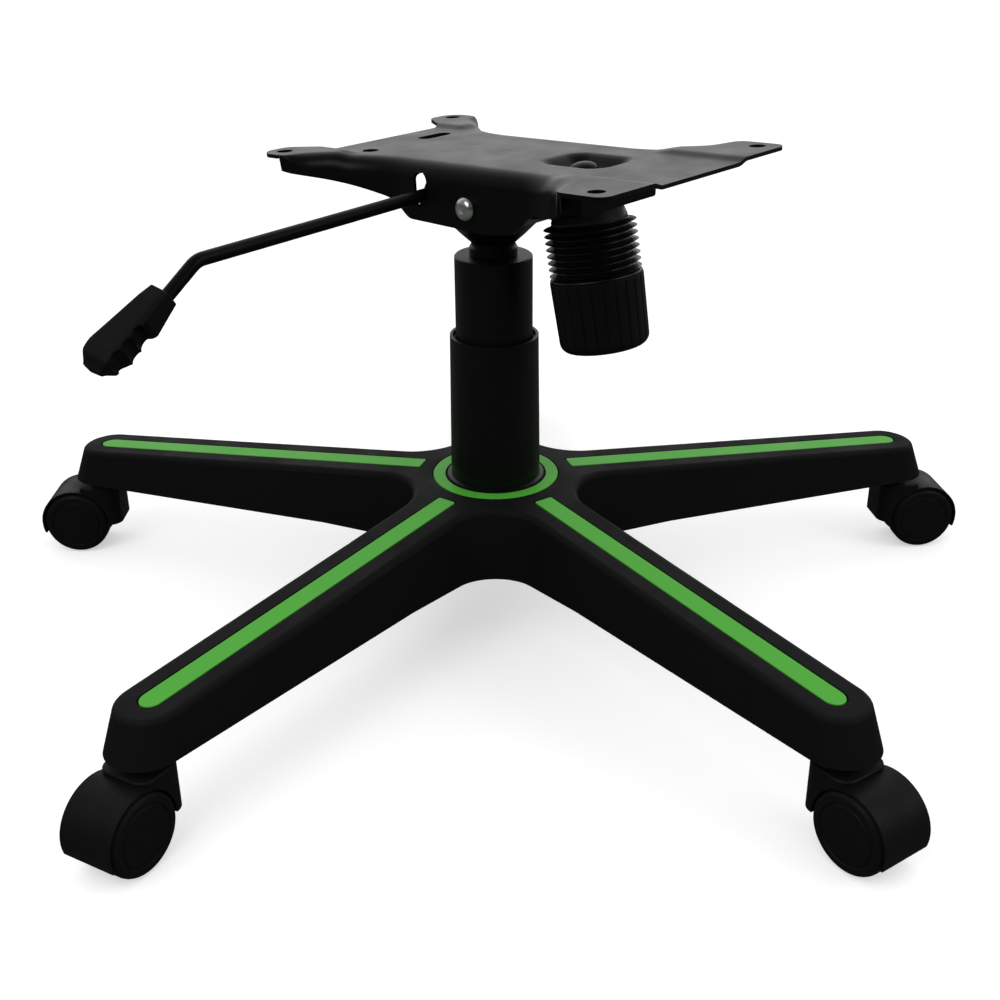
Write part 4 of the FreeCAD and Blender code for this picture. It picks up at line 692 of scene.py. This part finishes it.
# the grip's own X runs down the rod's bent end and its heights are measured from the rod's axis;
# the rod rises outwards by its slope before the bend
rod = {"bendY": -229.5, "run": 187.5, "slope": 1.4}
grip = {"bend": (mechanism["leverAt"][0], rod["bendY"],
                 mechanism["leverAt"][2] - rod["run"] * math.tan(math.radians(rod["slope"]))),
        "drop": 35.0, "start": 27.5, "length": 56.5,
        "topLine": [(0, 9.6), (8, 11.2), (30, 13.6), (45, 15.4), (51, 14.6), (56.5, 9.5)],
        "lowLine": [(0, -5.0), (20, -7.6), (36, -9.6), (43, -9.2), (50, -5.0), (56.5, 2.5)],
        "halfWidth": [(0, 5.6), (20, 7.8), (42, 10.2), (50, 9.4), (56.5, 6.2)],
        "topLean": 0.32, "squareness": 8.0,
        "fingers": (27.5, 36.0, 44.5), "fingerHalf": 4.5, "fingerDepth": 2.8, "scoop": 3.0, "lip": 2.8,
        "lipRamp": (-0.6, 0.8), "sideRamp": (-0.2, 0.7), "rise": 0.25, "soften": 1.5,
        "endShares": (0.0, 0.5, 0.8, 0.94), "endReach": 1.2, "stations": 150, "around": 168}


def smoothLine(points, at, spread):
    # straight pieces between points, softened by the mean of a few shifted copies
    x, y = np.array(points).T
    return np.mean([np.interp(at + shift, x, y) for shift in np.linspace(-spread, spread, 9)], axis=0)


def makeGrip(shape):
    # superellipse sections along the rod: x to the power n plus y to the power n is one
    a = math.radians(shape["drop"])
    along = np.array([0, -math.cos(a), -math.sin(a)])
    up = np.array([0, -math.sin(a), math.cos(a)])
    place = placeOf(np.array(shape["bend"]) + along * shape["start"], along, np.cross(up, along), up)
    x = np.linspace(0, shape["length"], shape["stations"])
    top = smoothLine(shape["topLine"], x, shape["soften"])
    low = smoothLine(shape["lowLine"], x, shape["soften"])
    wide = smoothLine(shape["halfWidth"], x, shape["soften"])[:, None]
    angle = np.linspace(0, 2 * np.pi, shape["around"], endpoint=False)
    power = 2 / shape["squareness"]
    cosine = np.sign(np.cos(angle)) * abs(np.cos(angle)) ** power
    sine = np.sign(np.sin(angle)) * abs(np.sin(angle)) ** power
    middle, half = ((top + low) / 2)[:, None], ((top - low) / 2)[:, None]
    across, height = wide * cosine, middle + half * sine
    # the top falls towards the fingers' side
    height = height - shape["topLean"] * (across + wide) * ease(sine, 0, 1)
    # round hollows for three fingers and a shallow scoop, pressed into that side below a lip
    near = (x[:, None] - np.array(shape["fingers"])) / shape["fingerHalf"]
    hollow = np.sqrt(np.clip(1 - near ** 2, 0, 1)).max(axis=1)[:, None] * shape["fingerDepth"]
    run = ease(x, shape["fingers"][0] - 8, shape["fingers"][0] - 3) * ease(shape["length"] - x, 4, 8)
    lip = top[:, None] - 2 * shape["topLean"] * wide - shape["lip"] + hollow * 0.8
    below = ease(lip - height, *shape["lipRamp"]) * ease(across / wide, *shape["sideRamp"])
    press = (hollow + shape["scoop"]) * run[:, None] * below
    raised = height + press * shape["rise"] * ease(-sine, 0.3, 1)
    rows = np.stack([x[:, None] + 0 * angle, across - press, raised], -1)
    # both ends roll over to a point in the middle of the section
    ends = []
    for row, lean in ((rows[0], -1), (rows[-1], 1)):
        centre = row.mean(axis=0)
        share = np.array(shape["endShares"])[::-lean, None, None]
        cap = centre + (row - centre) * share
        cap[..., 0] += lean * shape["endReach"] * np.sqrt(1 - share[..., 0] ** 2)
        ends.append(cap)
    grid = np.concatenate([ends[0], rows, ends[1]])
    return gridPiece("leverGrip", carried(grid, place), knobSkin, sharp=60)


gripShape = makeGrip(grip)
standsFor(gripShape, "lever", "knob_plastic", "lever_grip")
print("lever grip made")


# casters: angles of the legs round the base, and how far each caster has swivelled from its leg
casters = {"stemRadius": 336.0, "trail": 20.0, "axle": 25.2, "hoodEdge": 0.9,
           "legs": (-12.4, 59.6, 131.6, 203.6, 275.6), "turns": (-0.6, -11.0, 4.0, 18.0, 6.9)}
wheel = {"radius": 25.2, "inner": 7.5, "outer": 19.8, "tread": 3.6, "disc": 3.0, "hub": 6.0,
         "bore": 3.05, "axleEnd": 16.8, "rim": 5.0, "rimFace": 21.6, "ring": 18.4, "ringWidth": 0.7,
         "ringDepth": 0.6, "ringEdge": 0.25, "innerEdge": (0.8, 0.2), "turns": 120}


def wheelProfile(shape):
    # section of a cup wheel: hub, inside of the tread, tread, a quarter ellipse as the rolled rim,
    # then the face with its ring
    radius, face = shape["radius"], shape["outer"]
    a = np.linspace(0, np.pi / 2, 12)
    rolled = np.stack([shape["rimFace"] + (radius - shape["rimFace"]) * np.cos(a),
                       face - shape["rim"] * (1 - np.sin(a))], -1)
    ring, wide, deep, edge = shape["ring"], shape["ringWidth"] / 2, shape["ringDepth"], shape["ringEdge"]
    groove = [(ring + wide + edge, face), (ring + wide, face - deep * 0.5), (ring, face - deep),
              (ring - wide, face - deep * 0.5), (ring - wide - edge, face), (ring - 4, face)]
    inside, inner = radius - shape["tread"], shape["inner"]
    far, near = shape["innerEdge"]
    start = [(shape["bore"], inner), (shape["hub"], inner), (shape["hub"], face - shape["disc"]),
             (inside, face - shape["disc"]), (inside, inner), (radius - far, inner),
             (radius - near, inner + near), (radius, inner + far)]
    end = [(0, face), (0, shape["axleEnd"]), (shape["bore"], shape["axleEnd"])]
    return np.vstack([start, rolled, groove, end])


def headingFrame(number):
    # frame of a caster: origin on the floor under its stem, X along its trail
    a = math.radians(casters["legs"][number])
    b = a + math.radians(casters["turns"][number])
    at = casters["stemRadius"] * np.array([math.cos(a), math.sin(a), 0])
    return placeOf(at, (math.cos(b), math.sin(b), 0), (-math.sin(b), math.cos(b), 0), (0, 0, 1))


def makeWheels():
    # both cups of a caster share one section, turned to either side
    profile = wheelProfile(wheel)
    for number in range(5):
        heading = headingFrame(number)
        for side, sign in (("left", 1), ("right", -1)):
            at = (casters["trail"], 0, casters["axle"])
            axle = placeOf(at, (-sign, 0, 0), (0, 0, 1), (0, sign, 0))
            grid = turnedGrid(profile, wheel["turns"], heading @ axle)
            name = "wheel_%s_%d" % (side, number + 1)
            cup = gridPiece("cup_%s_%d" % (side, number + 1), grid, casterSkin, wrapRows=True, sharp=40)
            standsFor(cup, name, "wheel_nylon", name)


makeWheels()
for number in range(1, 6):
    hood = softCopy("hood_%d" % number, "caster_hood_%d" % number, casterSkin, casters["hoodEdge"])
    standsFor(hood, "caster_%d" % number, "caster_plastic", "caster_hood_%d" % number)
print("casters made")


# the inlays stop a gap short of their recess, which leaves the fine dark line round each
inlays = {"gap": 0.95, "edge": 0.25, "ring": (35.2, 45.7), "strip": (55.2, 330.0), "stripHalf": 7.9}


def drawnIn(values, low, high, gap):
    # a span from low to high loses the gap at both its ends
    middle, half = (low + high) / 2, (high - low) / 2
    return middle + (values - middle) * (half - gap) / half


def smallerRing(points):
    # the radius loses the gap at both edges of the ring, and the angle stays
    r = np.hypot(points[:, 0], points[:, 1])
    share = drawnIn(r, *inlays["ring"], inlays["gap"]) / r
    return points * np.stack([share, share, 1 + 0 * share], -1)


def smallerStrip(angle):
    # turned back onto X, length and width lose the gap at both ends, and the strip is turned again
    a = math.radians(angle)
    turn = np.array([[math.cos(a), -math.sin(a), 0], [math.sin(a), math.cos(a), 0], [0, 0, 1]])

    def change(points):
        own = points @ turn
        own[:, 0] = drawnIn(own[:, 0], *inlays["strip"], inlays["gap"])
        own[:, 1] = drawnIn(own[:, 1], -inlays["stripHalf"], inlays["stripHalf"], inlays["gap"])
        return own @ turn.T
    return change


ring = softCopy("green_ring", "inlay_ring", inlaySkin, inlays["edge"], change=smallerRing)
standsFor(ring, "base", "inlay_green", "inlay_ring")
for number, angle in enumerate(casters["legs"], 1):
    node = "inlay_strip_%d" % number
    strip = softCopy(
        "green_strip_%d" % number, node, inlaySkin, inlays["edge"], change=smallerStrip(angle))
    standsFor(strip, "base", "inlay_green", node)
print("inlays made")


# dark lip round the foot of the column, in the recess inside the green ring
foot = {"outer": 34.95, "gap": 0.12, "high": 1.5, "edge": 0.7, "turns": 120}


def makeColumnLip(shape):
    # rectangle with its upper corners rounded, turned once round the column from the cover's foot
    low, high = (np.array(corner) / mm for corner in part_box("lower_cover"))
    inner, outer, top = (high[0] - low[0]) / 2 + shape["gap"], shape["outer"], shape["high"]
    corners = [(inner, 0, 0), (outer, 0, 0), (outer, top, shape["edge"]), (inner, top, shape["edge"])]
    place = placeOf((0, 0, low[2]), (1, 0, 0), (0, 1, 0), (0, 0, 1))
    grid = turnedGrid(filleted(corners, closed=True), shape["turns"], place)
    return gridPiece("columnLip", grid, nylonSkin, wrapRows=True)


lip = makeColumnLip(foot)
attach(lip, "base")
print("foot lip made")


# camera, sky, floor and lamps: the camera stands at eye, and the sky brightens towards away
studio = {"eye": (600.0, -658.2, 515.9), "right": (0.7438, 0.6684, -0.0079),
          "up": (-0.2854, 0.3283, 0.9004), "ahead": (-0.6044, 0.6675, -0.4350),
          "lens": 48.90, "sensor": 36.0, "clip": (0.01, 50.0),
          "away": (-0.67, 0.74, 0.0), "skyLevels": (0.03, 0.22, 1.12), "skySpots": (0.1, 0.5, 0.93),
          "diffuseLevel": 0.85,
          "floorHalf": 9000, "floorDrop": 0.3, "floorWhite": 0.72, "floorFill": 0.46, "floorDark": 0.1,
          # lamps: place, side of the square and power in watts
          "lampAim": (0, 0, 180),
          "lamps": {"softKey": ((200, -1500, 1500), 1100, 9), "softSide": ((1500, 500, 1100), 900, 5)}}


def grey(level):
    # the same level in red, green and blue
    return (level, level, level, 1)


def makeCamera():
    # right, up and back as three square axes, up being back times right
    view = bpy.data.cameras.new("view")
    view.lens, view.sensor_width = studio["lens"], studio["sensor"]
    view.clip_start, view.clip_end = studio["clip"]
    axes = np.array([studio["right"], studio["up"], [-c for c in studio["ahead"]]])
    axes = axes / np.linalg.norm(axes, axis=1)[:, None]
    axes[1] = np.cross(axes[2], axes[0])
    eye = bpy.data.objects.new("view", view)
    eye.matrix_world = Matrix(placeOf(np.array(studio["eye"]) * mm, *axes).tolist())
    scene.collection.objects.link(eye)
    scene.camera = eye


def makeSky():
    # white to the camera, even grey to matt surfaces; gloss sees a ramp over the cosine to away
    world = bpy.data.worlds.new("studio")
    scene.world = world
    world.use_nodes = True
    sky = world.node_tree
    sky.nodes.clear()
    path = addNode(sky, "ShaderNodeLightPath")
    aim = addNode(sky, "ShaderNodeTexCoord")
    facing = addNode(sky, "ShaderNodeVectorMath", {0: aim.outputs["Generated"], 1: studio["away"]},
                     operation="DOT_PRODUCT")
    share = addNode(sky, "ShaderNodeMapRange", {
        "Value": facing.outputs["Value"], "From Min": -1.0, "From Max": 1.0})
    ramp = addNode(sky, "ShaderNodeValToRGB", {"Fac": share.outputs["Result"]})
    ramp.color_ramp.interpolation = "EASE"
    ramp.color_ramp.elements.new(0.5)
    for element, level, spot in zip(ramp.color_ramp.elements, studio["skyLevels"], studio["skySpots"]):
        element.position, element.color = spot, grey(level)
    bounced = addNode(sky, "ShaderNodeMix", {
        0: path.outputs["Is Glossy Ray"], 6: grey(studio["diffuseLevel"]), 7: ramp.outputs["Color"]},
        data_type="RGBA")
    seen = addNode(sky, "ShaderNodeMix", {
        0: path.outputs["Is Camera Ray"], 6: bounced.outputs[2], 7: grey(1)}, data_type="RGBA")
    glow = addNode(sky, "ShaderNodeBackground", {"Color": seen.outputs[2], "Strength": 1.0})
    addNode(sky, "ShaderNodeOutputWorld", {"Surface": glow.outputs["Background"]})


def makeFloor():
    # white to the camera with the object's soft shadow on it, dark grey to everything it lights
    half, z = studio["floorHalf"], -studio["floorDrop"]
    points = np.array([(-half, -half, z), (half, -half, z), (half, half, z), (-half, half, z)])
    material = bpy.data.materials.new("studio_paper")
    material.use_nodes = True
    tree = material.node_tree
    tree.nodes.clear()
    ray = addNode(tree, "ShaderNodeLightPath")
    tone = addNode(tree, "ShaderNodeMix", {
        0: ray.outputs["Is Camera Ray"], 6: grey(studio["floorDark"]), 7: grey(studio["floorWhite"])},
        data_type="RGBA")
    matt = addNode(tree, "ShaderNodeBsdfDiffuse", {"Color": tone.outputs[2]})
    fill = addNode(tree, "ShaderNodeMath", {0: ray.outputs["Is Camera Ray"], 1: studio["floorFill"]},
                   operation="MULTIPLY")
    lit = addNode(tree, "ShaderNodeEmission", {"Strength": fill.outputs["Value"]})
    both = addNode(tree, "ShaderNodeAddShader", {0: matt.outputs["BSDF"], 1: lit.outputs["Emission"]})
    addNode(tree, "ShaderNodeOutputMaterial", {"Surface": both.outputs["Shader"]})
    floor = meshObject("floor", points, [[0, 1, 2, 3]], material, 30)


def addLamp(name, at, toward, size, power):
    # square soft lamp that looks from one point to another, both in mm
    lamp = bpy.data.lights.new(name, "AREA")
    lamp.size, lamp.energy = size * mm, power
    holder = bpy.data.objects.new(name, lamp)
    back = np.array(at, float) - np.array(toward, float)
    back = back / np.linalg.norm(back)
    side = np.cross((0, 0, 1), back)
    side = side / np.linalg.norm(side)
    holder.matrix_world = Matrix(placeOf(np.array(at) * mm, side, np.cross(back, side), back).tolist())
    scene.collection.objects.link(holder)


makeCamera()
scene.view_settings.view_transform = "Standard"
makeSky()
makeFloor()
for lampName, (lampAt, lampSize, lampPower) in studio["lamps"].items():
    addLamp(lampName, lampAt, studio["lampAim"], lampSize, lampPower)
print("studio ready")
